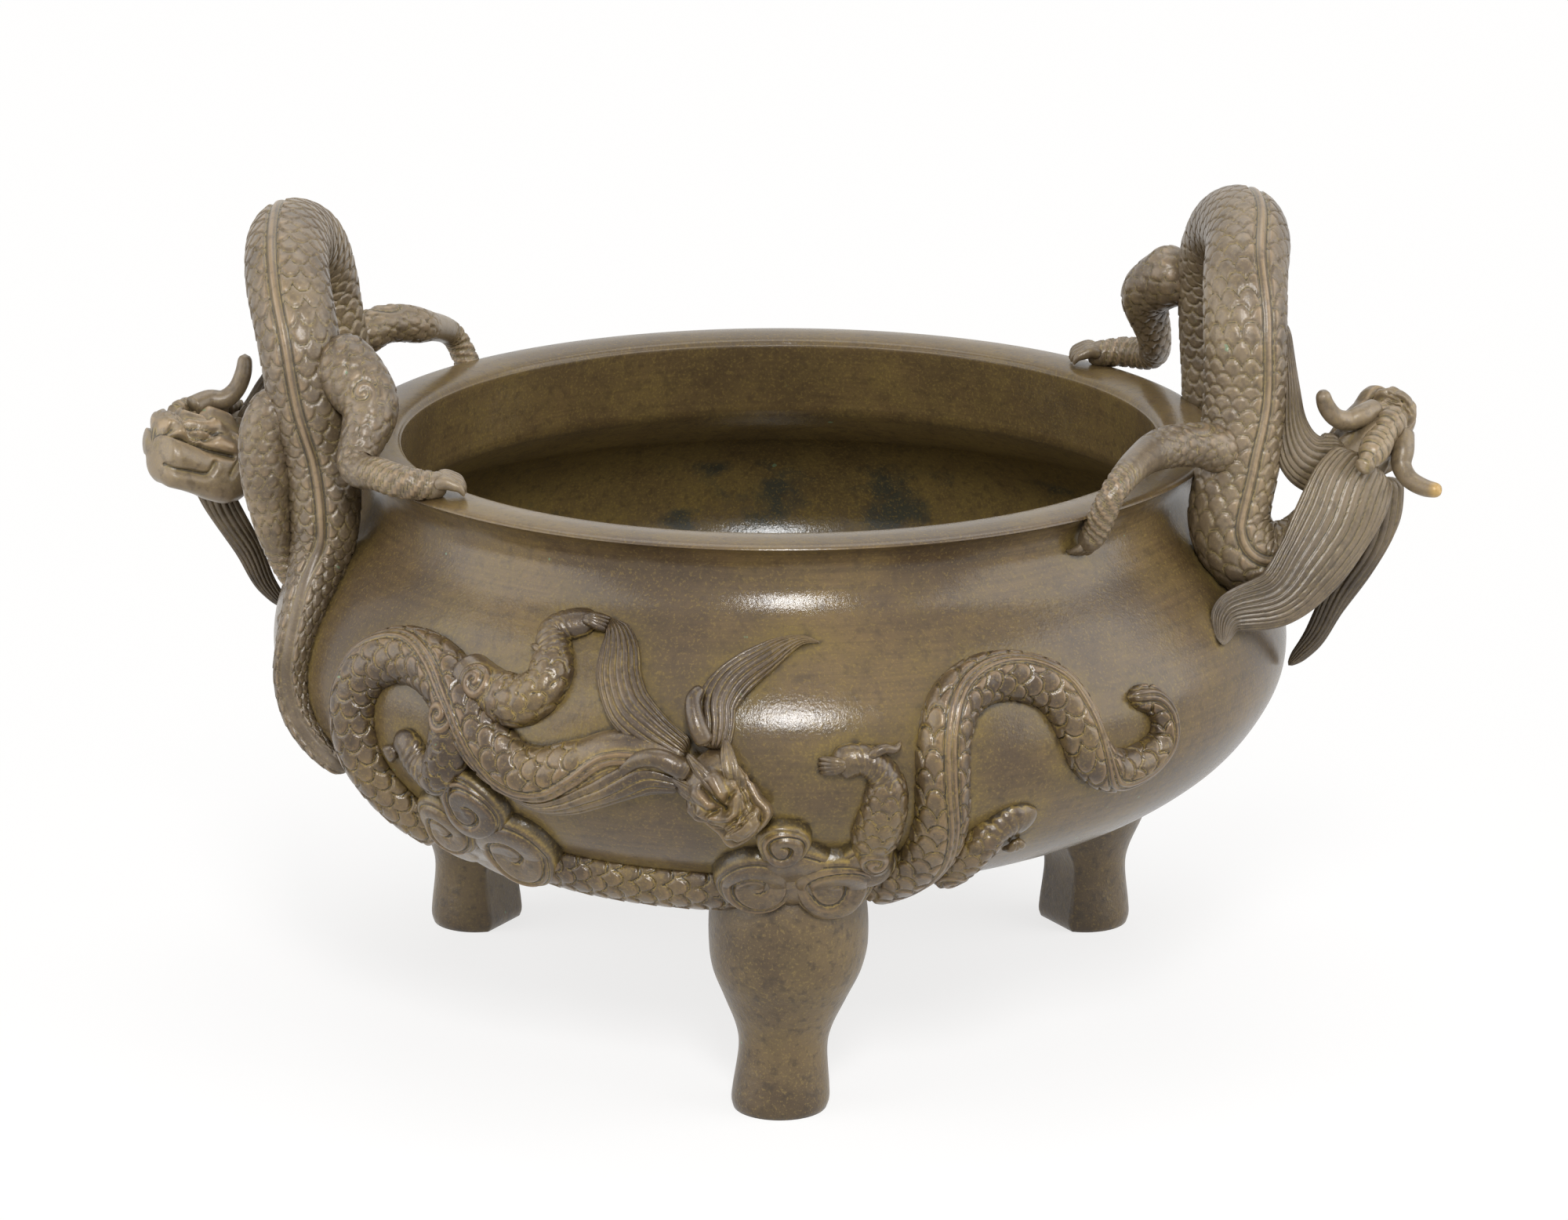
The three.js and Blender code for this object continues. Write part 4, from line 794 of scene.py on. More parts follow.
def bronze(name, slot, dark, light, dust, dustiness, roughness, metallic, wax_roughness, pitting, grit,
           brushing=0):
    """Brown patina under a thin wax, with ochre dust in the hollows, painted shade darkening the deepest
    grooves, and worn raised parts.

    Dark, light and dust are its colours. Pitting is a depth in metres, and dustiness, grit and brushing
    are shares. Gives the material and its slot.
    """
    material = bpy.data.materials.new(name)
    material.use_nodes = True
    add = partial(add_node, material.node_tree)
    place = add("TexCoord", {}, "Object")
    hollow, soot, bare = (
        add("Attribute", {}, "Fac", attribute_name=mark) for mark in ("hollow", "soot", "bare")
    )

    def noise(scale, detail, roughness_share=0.6, stretch=(1, 1, 1)):
        vector = add("Mapping", {"Vector": place, "Scale": stretch})
        sockets = {"Vector": vector, "Scale": scale, "Detail": detail, "Roughness": roughness_share}
        return add("TexNoise", sockets, "Fac")

    def between(value, low, high, to_low=0, to_high=1):
        """A value's way from low to high, eased, as a way from one share to another."""
        limits = {"From Min": low, "From Max": high, "To Min": to_low, "To Max": to_high}
        return add("MapRange", {"Value": value, **limits}, "Result", interpolation_type="SMOOTHSTEP")

    def reckon(operation, first, second):
        return add("Math", {0: first, 1: second}, operation=operation)

    def mixed(share, first, second):
        first, second = ((*tone, 1) if isinstance(tone, tuple) else tone for tone in (first, second))
        return add("Mix", {"Factor": share, 6: first, 7: second}, 2, data_type="RGBA")

    broad = noise(24, 5)
    middle = noise(110, 6)
    crust = noise(420, 5)
    grain = noise(1500, 4)
    tone = mixed(between(broad, 0.34, 0.66), dark, light)
    tone = mixed(between(middle, 0.42, 0.7, 0, 0.45), tone, dark)
    if brushing:
        lines = noise(40, 4, 0.6, (0.5, 0.5, 28))
        tone = mixed(between(lines, 0.4, 0.65, 0, brushing), tone, scaled(dark, 0.75))
    worn = between(hollow, 0.36, 0.08, 0, 0.5)
    tone = mixed(worn, tone, (light[0] * 1.7, light[1] * 1.55, light[2] * 1.3))
    settled = reckon("MULTIPLY", between(hollow, 0.55, 0.88), between(middle, 0.3, 0.7, 0.5, 1))
    cloudy = reckon("ADD", reckon("MULTIPLY", broad, 0.6), reckon("MULTIPLY", middle, 0.4))
    dusty = reckon("ADD", settled, between(cloudy, 0.44, 0.6, 0, dustiness))
    dusty = reckon("MINIMUM", reckon("MULTIPLY", dusty, between(grain, 0.35, 0.6, 0.55, 1)), 0.92)
    tone = mixed(dusty, tone, dust)
    tone = mixed(reckon("MULTIPLY", bare, 0.8), tone, BARE_METAL)
    # Painted shade: the deepest grooves and the feet of raised pieces are darkened to near-black brown
    tone = mixed(between(hollow, 0.8, 0.97, 0, 0.85), tone, scaled(dark, 0.3))
    tone = mixed(reckon("MULTIPLY", soot, between(noise(36, 6), 0.5, 0.6, 0, 0.85)), tone, SOOT)
    tone = mixed(between(grain, 0.53, 0.66, 0, grit), tone, scaled(dust, 1.4))
    tone = mixed(between(crust, 0.5, 0.68, 0, 0.2 + 900 * pitting), tone, scaled(dark, 0.6))
    tone = mixed(between(noise(260, 2, 0.4), 0.775, 0.79, 0, 0.6), tone, VERDIGRIS)
    rough = reckon("ADD", roughness, reckon("MULTIPLY", dusty, 0.25))
    fine = reckon("ADD", reckon("MULTIPLY", grain, GRAIN_DEPTH / pitting), reckon("MULTIPLY", middle, 0.6))
    coarse = reckon("MULTIPLY", crust, 1 - GRAIN_DEPTH / pitting)
    height = reckon("ADD", fine, coarse)
    normal = add("Bump", {"Strength": 0.5, "Distance": pitting, "Height": height}, "Normal")
    feed(material.node_tree, material.node_tree.nodes["Principled BSDF"], {
        "Base Color": tone,
        "Metallic": reckon("SUBTRACT", metallic, reckon("MULTIPLY", dusty, metallic)),
        "Roughness": reckon("ADD", rough, between(grain, 0.3, 0.7, -0.05, 0.06)),
        "Specular IOR Level": 0.3,
        "Coat Weight": 0.6,
        "Coat Roughness": wax_roughness,
        "Normal": normal,
        "Coat Normal": normal,
    })
    return material, slot


bowl_bronze = bronze(
    "bowl_bronze", "bowl_bronze", (0.052, 0.03, 0.011), (0.114, 0.07, 0.025), (0.14, 0.095, 0.024),
    dustiness=0.3, roughness=0.62, metallic=0.08, wax_roughness=0.12, pitting=0.00022, grit=0.4,
    brushing=0.45,
)
leg_bronze = bronze(
    "leg_bronze", "leg_bronze", (0.046, 0.027, 0.01), (0.112, 0.072, 0.029), (0.138, 0.095, 0.029),
    dustiness=0.32, roughness=0.52, metallic=0.2, wax_roughness=0.3, pitting=0.0005, grit=0.5,
)
relief_bronze = bronze(
    "relief_bronze", "relief_bronze", (0.04, 0.024, 0.012), (0.122, 0.082, 0.044), (0.24, 0.162, 0.034),
    dustiness=0.2, roughness=0.42, metallic=0.3, wax_roughness=0.19, pitting=0.00036, grit=0.2,
)
handle_bronze = bronze(
    "handle_bronze", "handle_bronze", (0.072, 0.049, 0.027), (0.185, 0.137, 0.087), (0.22, 0.163, 0.06),
    dustiness=0.2, roughness=0.5, metallic=0.25, wax_roughness=0.3, pitting=0.00026, grit=0.25,
)
# A darker copy of the handle bronze for the locks of the mane: painted shade, standing in for the shadow
# among their strands
mane_shaded_bronze = bronze(
    "mane_shaded_bronze", "handle_bronze", (0.05, 0.034, 0.019), (0.135, 0.098, 0.06), (0.16, 0.118, 0.05),
    dustiness=0.2, roughness=0.5, metallic=0.25, wax_roughness=0.3, pitting=0.00026, grit=0.25,
)


# Relief dragons
def relief_band(side, piece, turn, rows, pattern, end, columns, dome=1):
    """A raised band that lies on the wall. A dome under 1 makes it flatter across."""
    table, run = evenly(rows, lambda row: on_wall(row[:, 0], row[:, 1]), FINE_STEP)
    radius = wall_at(table[:, 1])[0]
    east = np.gradient(np.radians(table[:, 0])) * radius
    upward = np.gradient(table[:, 1]) * WALL_LENGTH
    length = np.hypot(east, upward)
    east, upward = east / length, upward / length
    arc = np.radians(np.linspace(-12, 192, columns))
    sideways = np.concatenate([np.cos(arc), [-0.6, 0, 0.6]])[None]
    rise = np.concatenate([np.sin(arc), [-0.3, -0.3, -0.3]])[None]
    under = rise < 0
    rise = np.where(under, 0, np.abs(rise) ** dome)
    round_off = rounding(run, BAND_ROOT, end)[:, None]
    half = table[:, 2:3] * RELIEF_WIDTH / 2 * round_off
    lift = pattern(sideways, run[:, None], table, half) * round_off * np.where(under, 0, 1)
    top = rise * table[:, 3:4] * RELIEF_HEIGHT * np.sqrt(round_off)
    level = np.where(under, -SINK, top + lift * np.clip(rise * 3, 0, 1))
    half = half + lift * np.abs(np.cos(np.arcsin(np.clip(rise, 0, 1)))) * np.where(under, 0, 1)
    degrees = table[:, 0:1] - np.degrees(upward[:, None] * sideways * half / radius[:, None])
    share = table[:, 1:2] + east[:, None] * sideways * half / WALL_LENGTH
    places = on_wall(degrees, np.clip(share, 0, 1), level)
    # The band's low sides and foot count as hollow: dust there, and painted shade where they meet the wall
    hollow = np.clip(hollows(lift, FINE_DEPTH) + 0.5 * (1 - smooth(0.1, 0.5, rise)), 0, 1)
    places, hollow = pinched(places, hollow)
    skin(f"{side}_{piece}", turned(places, turn), hollow, relief_bronze, [f"{side}_relief_{piece}"])


def cloud(name, row, turn, node):
    """A low plate on the wall, with a scroll cut in it and its lower side tilted out."""
    degrees, share, radius_share, height_share, handed, tilt = row
    radius = radius_share * CLOUD_RADIUS
    angles = around(CLOUD_COLUMNS)
    radial = np.sin(np.linspace(math.pi / 2, 0, CLOUD_RINGS))[:, None]
    outline = radius * (1 + 0.05 * np.sin(3 * angles + degrees))
    level = height_share * CLOUD_HEIGHT * np.clip(1 - radial**4, 0, 1) ** 0.55 * (0.8 + 0.2 * radial)
    level = level + np.maximum(-radial * np.sin(angles), 0) * radius * tilt * (1 - radial**12)
    wind = np.mod(handed * angles / (2 * math.pi) + SCROLL_TURNS * radial, 1) - 0.5
    inside = smooth(0.1, 0.2, radial) * (1 - smooth(0.72, 0.8, radial)) * abs(handed)
    groove = np.exp(-((wind * radius / SCROLL_TURNS / 0.0005) ** 2)) * inside
    groove = np.maximum(groove, 0.7 * np.exp(-(((radial - 0.8) * radius / 0.00045) ** 2)))
    boss = abs(handed) * np.exp(-((radial / 0.14) ** 2))
    lift = SCROLL_DEPTH * (0.5 * boss - groove)
    flat = np.zeros((2, CLOUD_COLUMNS))
    level = np.concatenate([flat - SINK, level + lift])
    radial = np.concatenate([[[0.0]], [[1.0]], radial])
    places = on_wall(
        degrees + np.degrees(radial * outline * np.cos(angles) / wall_at(share)[0]),
        share + radial * outline * np.sin(angles) / WALL_LENGTH,
        level,
    )
    # The plate's edge counts as hollow: dust there, and painted shade where it meets the wall
    rim_dust_and_shade = 0.45 * smooth(0.75, 1, radial)
    hollow = np.clip(np.concatenate([flat + 0.5, hollows(lift, FINE_DEPTH)]) + rim_dust_and_shade, 0, 1)
    skin(name, turned(places, turn), hollow, relief_bronze, [node])


def claws(name, turn, place, heading, count, gap):
    """The claws of a relief foot, fanned out on the wall from one place."""
    degrees, share, lift = place
    steps = np.array([0, 0.35, 0.7, 1])
    radii = CLAW_RADIUS * np.array([0.8, 1, 0.75, 0.22])
    for k in range(count):
        fan = (k - (count - 1) / 2) * gap
        angles = math.radians(heading + fan) - math.radians(fan * 0.6) * steps
        east, upward = (
            np.concatenate([[0], np.cumsum(part(angles[1:]) * np.diff(steps))]) * CLAW_LENGTH
            for part in (np.cos, np.sin)
        )
        places = on_wall(
            degrees + np.degrees(east / wall_at(share)[0]),
            share + upward / WALL_LENGTH,
            lift * np.array([1, 1.15, 0.7, 0.2]),
        )
        facing = wall_normal(degrees, share)
        plain_limb(f"{name}_claw_{k + 1}", turn, relief_bronze, places, radii, facing, (0.001, 0.0008), 18)


def wall_limb(name, turn, rows, ends, columns, nodes=(), pattern=None):
    """A limb that stands off the wall."""
    table = np.array(rows)
    places = on_wall(table[:, 0], table[:, 1], table[:, 2] * RELIEF_HEIGHT)
    sizes = table[:, 3:].T * RELIEF_HEIGHT
    facing = wall_normal(table[0, 0], table[0, 1])
    plain_limb(name, turn, relief_bronze, places, sizes, facing, ends, columns, nodes, pattern)


def horn_rings(angles, run, line):
    """Rings over the first stretch of a horn."""
    return 0.0003 * creases(angles, run, 0.0013) * (1 - smooth(0.0035, 0.005, run))


def tuft_strands(angles, run, line):
    return 0.0005 * (strands_round(angles, TUFT_STRANDS, run) - 0.5)


def relief_dragon(side, turn):
    # Piece, rows, pattern, how far its end is rounded off, columns across it, dome
    for piece, rows, *shape in (
        ("fore_body", FORE_BODY_SHARES, body_pattern(0.022), 0.002, 60),
        ("lower_body", LOWER_BODY_SHARES, body_pattern(), 0.002, 60),
        ("hind_body", HIND_BODY_SHARES, body_pattern(), 0.006, 60),
        ("foreleg_upper", FORELEG_UPPER_SHARES, leg_pattern, 0.003, 40),
        ("foreleg_lower", FORELEG_LOWER_SHARES, leg_pattern, 0.003, 40),
        ("hindleg_upper", HINDLEG_UPPER_SHARES, leg_pattern, 0.003, 40),
        ("hindleg_lower", HINDLEG_LOWER_SHARES, leg_pattern, 0.003, 40),
        ("lock_upper", LOCK_UPPER_SHARES, lock_pattern(10), 0.004, 110, 0.7),
        ("lock_middle", LOCK_MIDDLE_SHARES, lock_pattern(8), 0.004, 100, 0.7),
        ("lock_lower", LOCK_LOWER_SHARES, lock_pattern(8), 0.004, 100, 0.7),
    ):
        relief_band(side, piece, turn, rows, *shape)
    for piece, rows, pattern in (
        ("horn_outer", HORN_OUTER_SHARES, horn_rings), ("horn_inner", HORN_INNER_SHARES, None),
    ):
        node = f"{side}_relief_{piece}"
        wall_limb(f"{side}_{piece}", turn, rows, (0.0018, 0.0016), 36, [node], pattern)
    for piece, rows in (("cloud_left", CLOUD_LEFT_SHARES), ("cloud_front", CLOUD_FRONT_SHARES)):
        for k, row in enumerate(rows):
            cloud(f"{side}_{piece}_{k + 1}", row, turn, f"{side}_relief_{piece}")
    for piece, *foot in RELIEF_FEET:
        claws(f"{side}_{piece}", turn, *foot)
    for k, rows in enumerate(TUFT_SHARES):
        wall_limb(f"{side}_tuft_{k + 1}", turn, rows, (0.001, 0.002), 60, (), tuft_strands)
    for k, rows in enumerate(SPUR_SHARES):
        wall_limb(f"{side}_spur_{k + 1}", turn, rows, (0.0018, 0.0016), 36)
    rear, snout = (
        on_wall(*end, RELIEF_HEAD_LIFT * RELIEF_HEAD_HEIGHT) for end in (RELIEF_HEAD_REAR, RELIEF_HEAD_SNOUT)
    )
    crown = wall_normal(*RELIEF_HEAD_REAR)
    raised = math.radians(RELIEF_HEAD_RAISE)
    forward = unit(snout - rear) * math.cos(raised) + crown * math.sin(raised)
    axes = head_axes(rear, unit(forward), crown)
    sizes = (RELIEF_HEAD_LENGTH, RELIEF_HEAD_WIDTH, RELIEF_HEAD_HEIGHT)
    head(f"{side}_head", axes, sizes, turn, relief_bronze, f"{side}_relief_head")


# Heads
def head_axes(rear, forward, crown):
    """Where a head starts and the three directions that it is built along."""
    aside = unit(np.cross(forward, crown))
    return {"rear": rear, "forward": forward, "aside": aside, "crown": unit(np.cross(aside, forward))}


def in_head(axes, sizes, ahead, sideways, height):
    """Places given in shares of a head's length, width and height."""
    length, width, tall = sizes
    ahead, sideways, height = np.broadcast_arrays(ahead, sideways, height)
    return (
        axes["rear"]
        + axes["forward"] * (ahead * length)[..., None]
        + axes["aside"] * (sideways * width)[..., None]
        + axes["crown"] * (height * tall)[..., None]
    )


def distance_to_line(points, line):
    """Distance of each point from a line of straight stretches."""
    best = np.full(points.shape[:-1], np.inf)
    for start, end in zip(line[:-1], line[1:]):
        stretch = end - start
        share = np.clip(((points - start) @ stretch) / max(stretch @ stretch, 1e-15), 0, 1)
        best = np.minimum(best, np.linalg.norm(points - start - share[..., None] * stretch, axis=-1))
    return best


def head(name, axes, sizes, turn, metal, node, face_turn=0):
    """A head. Face turn moves its features round it, in degrees."""
    ahead = np.linspace(0, 1, HEAD_ROWS) ** 0.9
    table = np.array(HEAD_SHARES)
    stations = np.stack([np.interp(ahead, table[:, 0], table[:, k]) for k in (1, 2, 3)], axis=1)
    for _ in range(HEAD_SMOOTHING_PASSES):
        stations[1:-1] = (stations[:-2] + 2 * stations[1:-1] + stations[2:]) / 4

    def section(forward):
        """Half width, middle and half height."""
        half, top, bottom = (np.interp(forward, ahead, column) for column in stations.T)
        return half, (top + bottom) / 2, (top - bottom) / 2

    def on_head(forward, angle):
        half, centre, tall = section(forward)
        tip = 0.4 + 0.6 * np.sqrt(np.clip(1 - np.clip((forward - 0.93) / 0.08, 0, 1) ** 2, 0, 1))
        return in_head(axes, sizes, forward, half * np.cos(angle) * tip, centre + tall * np.sin(angle) * tip)

    def places_of(path, side):
        line = columns_at(path, np.linspace(0, 1, 16))
        half, centre, tall = section(line[:, 0])
        angle = np.arctan2((line[:, 2] - centre) / tall, side * line[:, 1] / half)
        return on_head(line[:, 0], angle + math.radians(face_turn))

    places = on_head(ahead[:, None], around(HEAD_COLUMNS))
    outward = unit(places - places.mean(axis=1, keepdims=True))
    width = sizes[1]

    def strongest(lines, side):
        """The greatest of the heights that these lines give each place of one side."""
        return np.max([
            rise * np.exp(-((distance_to_line(places, places_of(path, side)) / (size * width)) ** 2))
            for path, size, rise in lines
        ], axis=0)

    lift = np.zeros(places.shape[:2])
    for side in (1, -1):
        eye = places_of([HEAD_EYE, HEAD_EYE], side)[0]
        ball = cord(np.minimum(np.linalg.norm(places - eye, axis=-1), 0.11 * width), 0.11 * width)
        swell, groove, nostril = (
            strongest(lines, side) for lines in (HEAD_SWELLS, HEAD_GROOVES, HEAD_NOSTRIL)
        )
        lift = lift + width * (swell - groove - nostril + 0.05 * ball)
    hollow = hollows(lift, FACE_DEPTH)
    places = places + outward * lift[..., None]
    muzzle = places[-1:].mean(axis=1, keepdims=True)
    front = [muzzle + (places[-1:] - muzzle) * share for share in (0.82, 0.6, 0.35)]
    places = kept_out(np.concatenate([places, *front]), HEAD_SINK)
    hollow = np.concatenate([hollow, hollow[-1:], hollow[-1:], hollow[-1:]])
    places, hollow = pinched(places, hollow)
    skin(name, turned(places, turn), hollow, metal, [node])


# Handle dragons
def handle_places(handle, rows):
    """Places of rows that hold out, along and rise shares."""
    rows = np.asarray(rows, float)
    out, along, rise = rows[:, 0], rows[:, 1], rows[:, 2]
    sway = np.maximum(rise, 0) * (handle["lean"] + handle["hind_lean"] * np.maximum(along, 0))
    height = np.where(rise > 0, rise * handle["rise"], rise)
    neck = np.where(along > 0, 0, smooth(0.2, 0.5, out) * smooth(-0.32, -0.02, rise))
    return np.stack(
        [
            LIMB_PLANE + out * HANDLE_REACH + sway,
            along * HANDLE_SPAN,
            RIM_LEVEL + height * ARCH_RISE - handle["neck_drop"] * neck,
        ],
        axis=1,
    )


def wall_stations(rows, size, turn=0):
    """Places on the wall of rows that hold degrees from the handle's axis, share and lift."""
    return on_wall(HANDLE_AXIS + turn + rows[:, 0], rows[:, 1], rows[:, 2] * size)


def rim_stations(rows, turn):
    """Places over the rim of rows that hold degrees from the handle's axis, share inwards and lift."""
    out = LIP_RADIUS - rows[:, 1] * (LIP_RADIUS - MOUTH_RADIUS)
    height = RIM_LEVEL + RIM_CROWN + rows[:, 2] * TRUNK_RADIUS
    return round_bowl(HANDLE_AXIS + turn + rows[:, 0], out, height)


def trunk(handle, axes):
    """The scaled trunk from the neck over the arch and down into the tail, with a ridge cord."""
    table = np.array(TRUNK_SHARES)
    tail = np.array(TAIL_SHARES)
    places = np.concatenate([
        [axes["rear"] + axes["forward"] * HEAD_LENGTH / 8],
        handle_places(handle, table),
        on_wall(tail[:, 0], tail[:, 1], tail[:, 3] * TRUNK_RADIUS * 0.75),
    ])
    radii = np.concatenate([[table[0, 3]], table[:, 3]])
    sizes = np.array([
        np.concatenate([radii, tail[:, 3] * 1.15]), np.concatenate([radii, tail[:, 2]]),
    ]) * TRUNK_RADIUS
    facings = np.concatenate([[NECK_FACING], table[:, 4:7], np.tile(TAIL_FACING, (len(tail), 1))])
    line = limb_line(places, sizes, facings, TRUNK_STEP)
    angles = np.linspace(-math.pi, math.pi, TRUNK_COLUMNS, endpoint=False)[None]
    shares = rounding(line["run"], 0, 0.004)[:, None]
    line["width"] = line["width"] * shares - TRUNK_ALLOWANCE
    line["thickness"] = line["thickness"] * shares - TRUNK_ALLOWANCE
    away = np.abs(angles) * line["width"]
    number = SCALES_PER_SIDE * (away - 0.0021) / (math.pi * line["width"] - 0.0021)
    lift = SCALE_RISE * scales(number + 0.5, line["run"][:, None] / SCALE_PITCH, 0.08)
    lift = lift * smooth(0.0012, 0.002, away)
    ridged = 1 - smooth(-0.07, -0.045, line["run"] - line["run"][-1])[:, None]
    lift = lift - 0.0004 * np.exp(-(((away - 0.0013) / 0.0004) ** 2)) * ridged
    lift = np.maximum(lift, RIDGE_RISE * cord(away, RIDGE_HALF_WIDTH) * ridged)
    places, hollow = pinched(limb_skin(line, angles, lift * shares), hollows(lift, TRUNK_DEPTH))
    name = handle["name"]
    nodes = [f"{name}_dragon_trunk", f"{name}_dragon_tail"]
    skin(f"{name}_trunk", turned(places, handle["turn"]), hollow, handle_bronze, nodes)


def lock(handle, piece, free_rows, tip_rows, count):
    """A lock of the mane, whose tip may lie on the wall."""
    tips = np.reshape(tip_rows, (-1, 5))
    places = np.concatenate([handle_places(handle, free_rows), wall_stations(tips, LOCK_WIDTH)])
    sizes = np.concatenate([free_rows, tips])[:, 3:].T * LOCK_WIDTH

    def pattern(angles, run, line):
        wave = strands_round(angles + math.pi / 2, count, run)
        return STRAND_DEPTH * (wave - 0.6) * np.clip(line["width"] / 0.004, 0.15, 1)

    name = handle["name"]
    # The mane gets more dust, and more painted shade among its strands
    plain_limb(
        f"{name}_{piece}", handle["turn"], mane_shaded_bronze, places, sizes, LOCK_FACING, (0.003, 0.004), 180,
        [f"{name}_dragon_{piece}"], pattern, dust_and_shade=0.1,
    )


def handle_leg(handle, piece, free, rim, wall, shift):
    """A leg of a handle dragon with its paw. Its rows stand free, on the rim and on the wall."""
    slimness, facing, end, plain_from, coil_along, coil_angle, coil_size = DRAGON_LEGS[piece]
    free, rim, wall = (np.reshape(rows, (-1, 4)) for rows in (free, rim, wall))
    places = np.concatenate([
        handle_places(handle, free), rim_stations(rim, shift), wall_stations(wall, TRUNK_RADIUS, shift),
    ])
    radii = np.concatenate([free, rim, wall])[:, 3] * TRUNK_RADIUS * slimness
    name = f"{handle['name']}_{piece}"
    paw(name, handle["turn"], places, radii[-1])

    def pattern(angles, run, line):
        share = run / run.max()
        around_coil = signed(signed(angles) - coil_angle) * line["width"]
        cover, where = coil(around_coil, run - coil_along * run.max(), coil_size)
        fade = 1 - smooth(*plain_from, share)
        lift = 0.8 * SCALE_RISE * scales(angles / math.pi * 5, run / LEG_SCALE_PITCH) * fade
        lift = lift * (1 - where) + 0.0006 * cover * where
        folds = creases(signed(angles), run, 0.0021, 0.6)
        return lift - 0.00055 * folds * smooth(0.6, 0.7, share) * (1 - smooth(0.92, 0.97, share))

    nodes = [f"{handle['name']}_dragon_{piece}"]
    plain_limb(name, handle["turn"], handle_bronze, places, radii, facing, (0.006, end), 72, nodes, pattern)


def paw(name, turn, places, size):
    """Four toes with claws at the end of a limb, fanned out on what the foot stands on."""
    forward = unit(places[-1] - places[-2])
    if places[-1][2] > RIM_LEVEL:
        up = np.array([0.0, 0.0, 1.0])
        forward = unit(forward * np.array([1, 1, 0.2]))
    else:
        up = unit(places[-1] * np.array([1, 1, 0]))
    side = unit(np.cross(forward, up))
    up = np.cross(side, forward)
    steps = np.array([0, 0.3, 0.62, 0.85, 1])[:, None]
    rise = np.array([0.1, 0.5, 0.35, 0.1, -0.5])[:, None] * size
    radii = size * np.array([0.45, 0.56, 0.46, 0.32, 0.08])
    for k in range(4):
        fan = (k - 1.5) / 1.5
        way = unit(forward + side * 0.36 * fan)
        start = places[-1] - forward * size * 1.1 + side * size * 0.72 * fan
        line = start + way * steps * size * 2.5 + up * rise
        plain_limb(f"{name}_toe_{k + 1}", turn, handle_bronze, line, radii, up, (0.001, 0.0006), 20)


def topknot_folds(angles, run, line):
    return -0.0005 * creases(angles, run, 0.0026, 0.12)


def handle_dragon(handle):
    """The trunk with its tail, the head with its horns and topknot, three legs and three locks."""
    name = handle["name"]
    turn = handle["turn"]
    yaw, pitch, roll = (share * math.pi / 2 for share in handle["head_turn"])
    forward = np.array([math.cos(yaw) * math.cos(pitch), math.sin(yaw) * math.cos(pitch), math.sin(pitch)])
    vertical = np.array([0.0, 0.0, 1.0])
    crown = (
        vertical * math.cos(roll)
        + np.cross(forward, vertical) * math.sin(roll)
        + forward * (forward @ vertical) * (1 - math.cos(roll))
    )
    out, along, rise = handle["head_base"]
    rear = np.array([LIMB_PLANE + out * HANDLE_REACH, along * HANDLE_SPAN, RIM_LEVEL + rise * ARCH_RISE])
    axes = head_axes(rear, forward, crown)
    sizes = (HEAD_LENGTH, HEAD_WIDTH, HEAD_HEIGHT)
    trunk(handle, axes)
    head(f"{name}_head", axes, sizes, turn, handle_bronze, f"{name}_dragon_head", handle["face_turn"])
    # Piece, rows, side of the head, how far its ends are rounded off, columns, pattern, length rubbed bright
    for piece, rows, side, ends, columns, pattern, rubbed in (
        ("horn_near", HORN_SHARES, 1, (0, 0.0018), 36, None, HORN_RUBBED),
        ("horn_far", HORN_SHARES, -1, (0, 0.0018), 36, None, 0),
        ("topknot", TOPKNOT_SHARES, 1, (0.001, 0.0025), 60, topknot_folds, 0),
    ):
        table = np.array(rows)
        places = in_head(axes, sizes, table[:, 0], side * table[:, 1], table[:, 2])
        radii = table[:, 3] * HEAD_WIDTH
        plain_limb(
            f"{name}_{piece}", turn, handle_bronze, places, radii, crown, ends, columns,
            [f"{name}_dragon_{piece}"], pattern, rubbed,
        )
    # Leg, then its rows that stand free, on the rim and on the wall, and degrees that its foot is moved
    for leg_rows in (
        ("foreleg", handle["foreleg"], [FORE_WRIST_SHARES], FORE_CLAW_SHARES, handle["fore_foot"]),
        ("hindleg_inner", handle["hindleg"], HIND_FOOT_SHARES, [], 0),
        ("hindleg_outer", OUTER_HINDLEG_SHARES, [], OUTER_FOOT_SHARES, 0),
    ):
        handle_leg(handle, *leg_rows)
    lock(handle, "mane_arch", ARCH_LOCK_SHARES, [], 12)
    lock(handle, "mane_inner", INNER_LOCK_SHARES, INNER_LOCK_TIP_SHARES, 14)
    lock(handle, "mane_outer", OUTER_LOCK_SHARES, OUTER_LOCK_TIP_SHARES, 8)


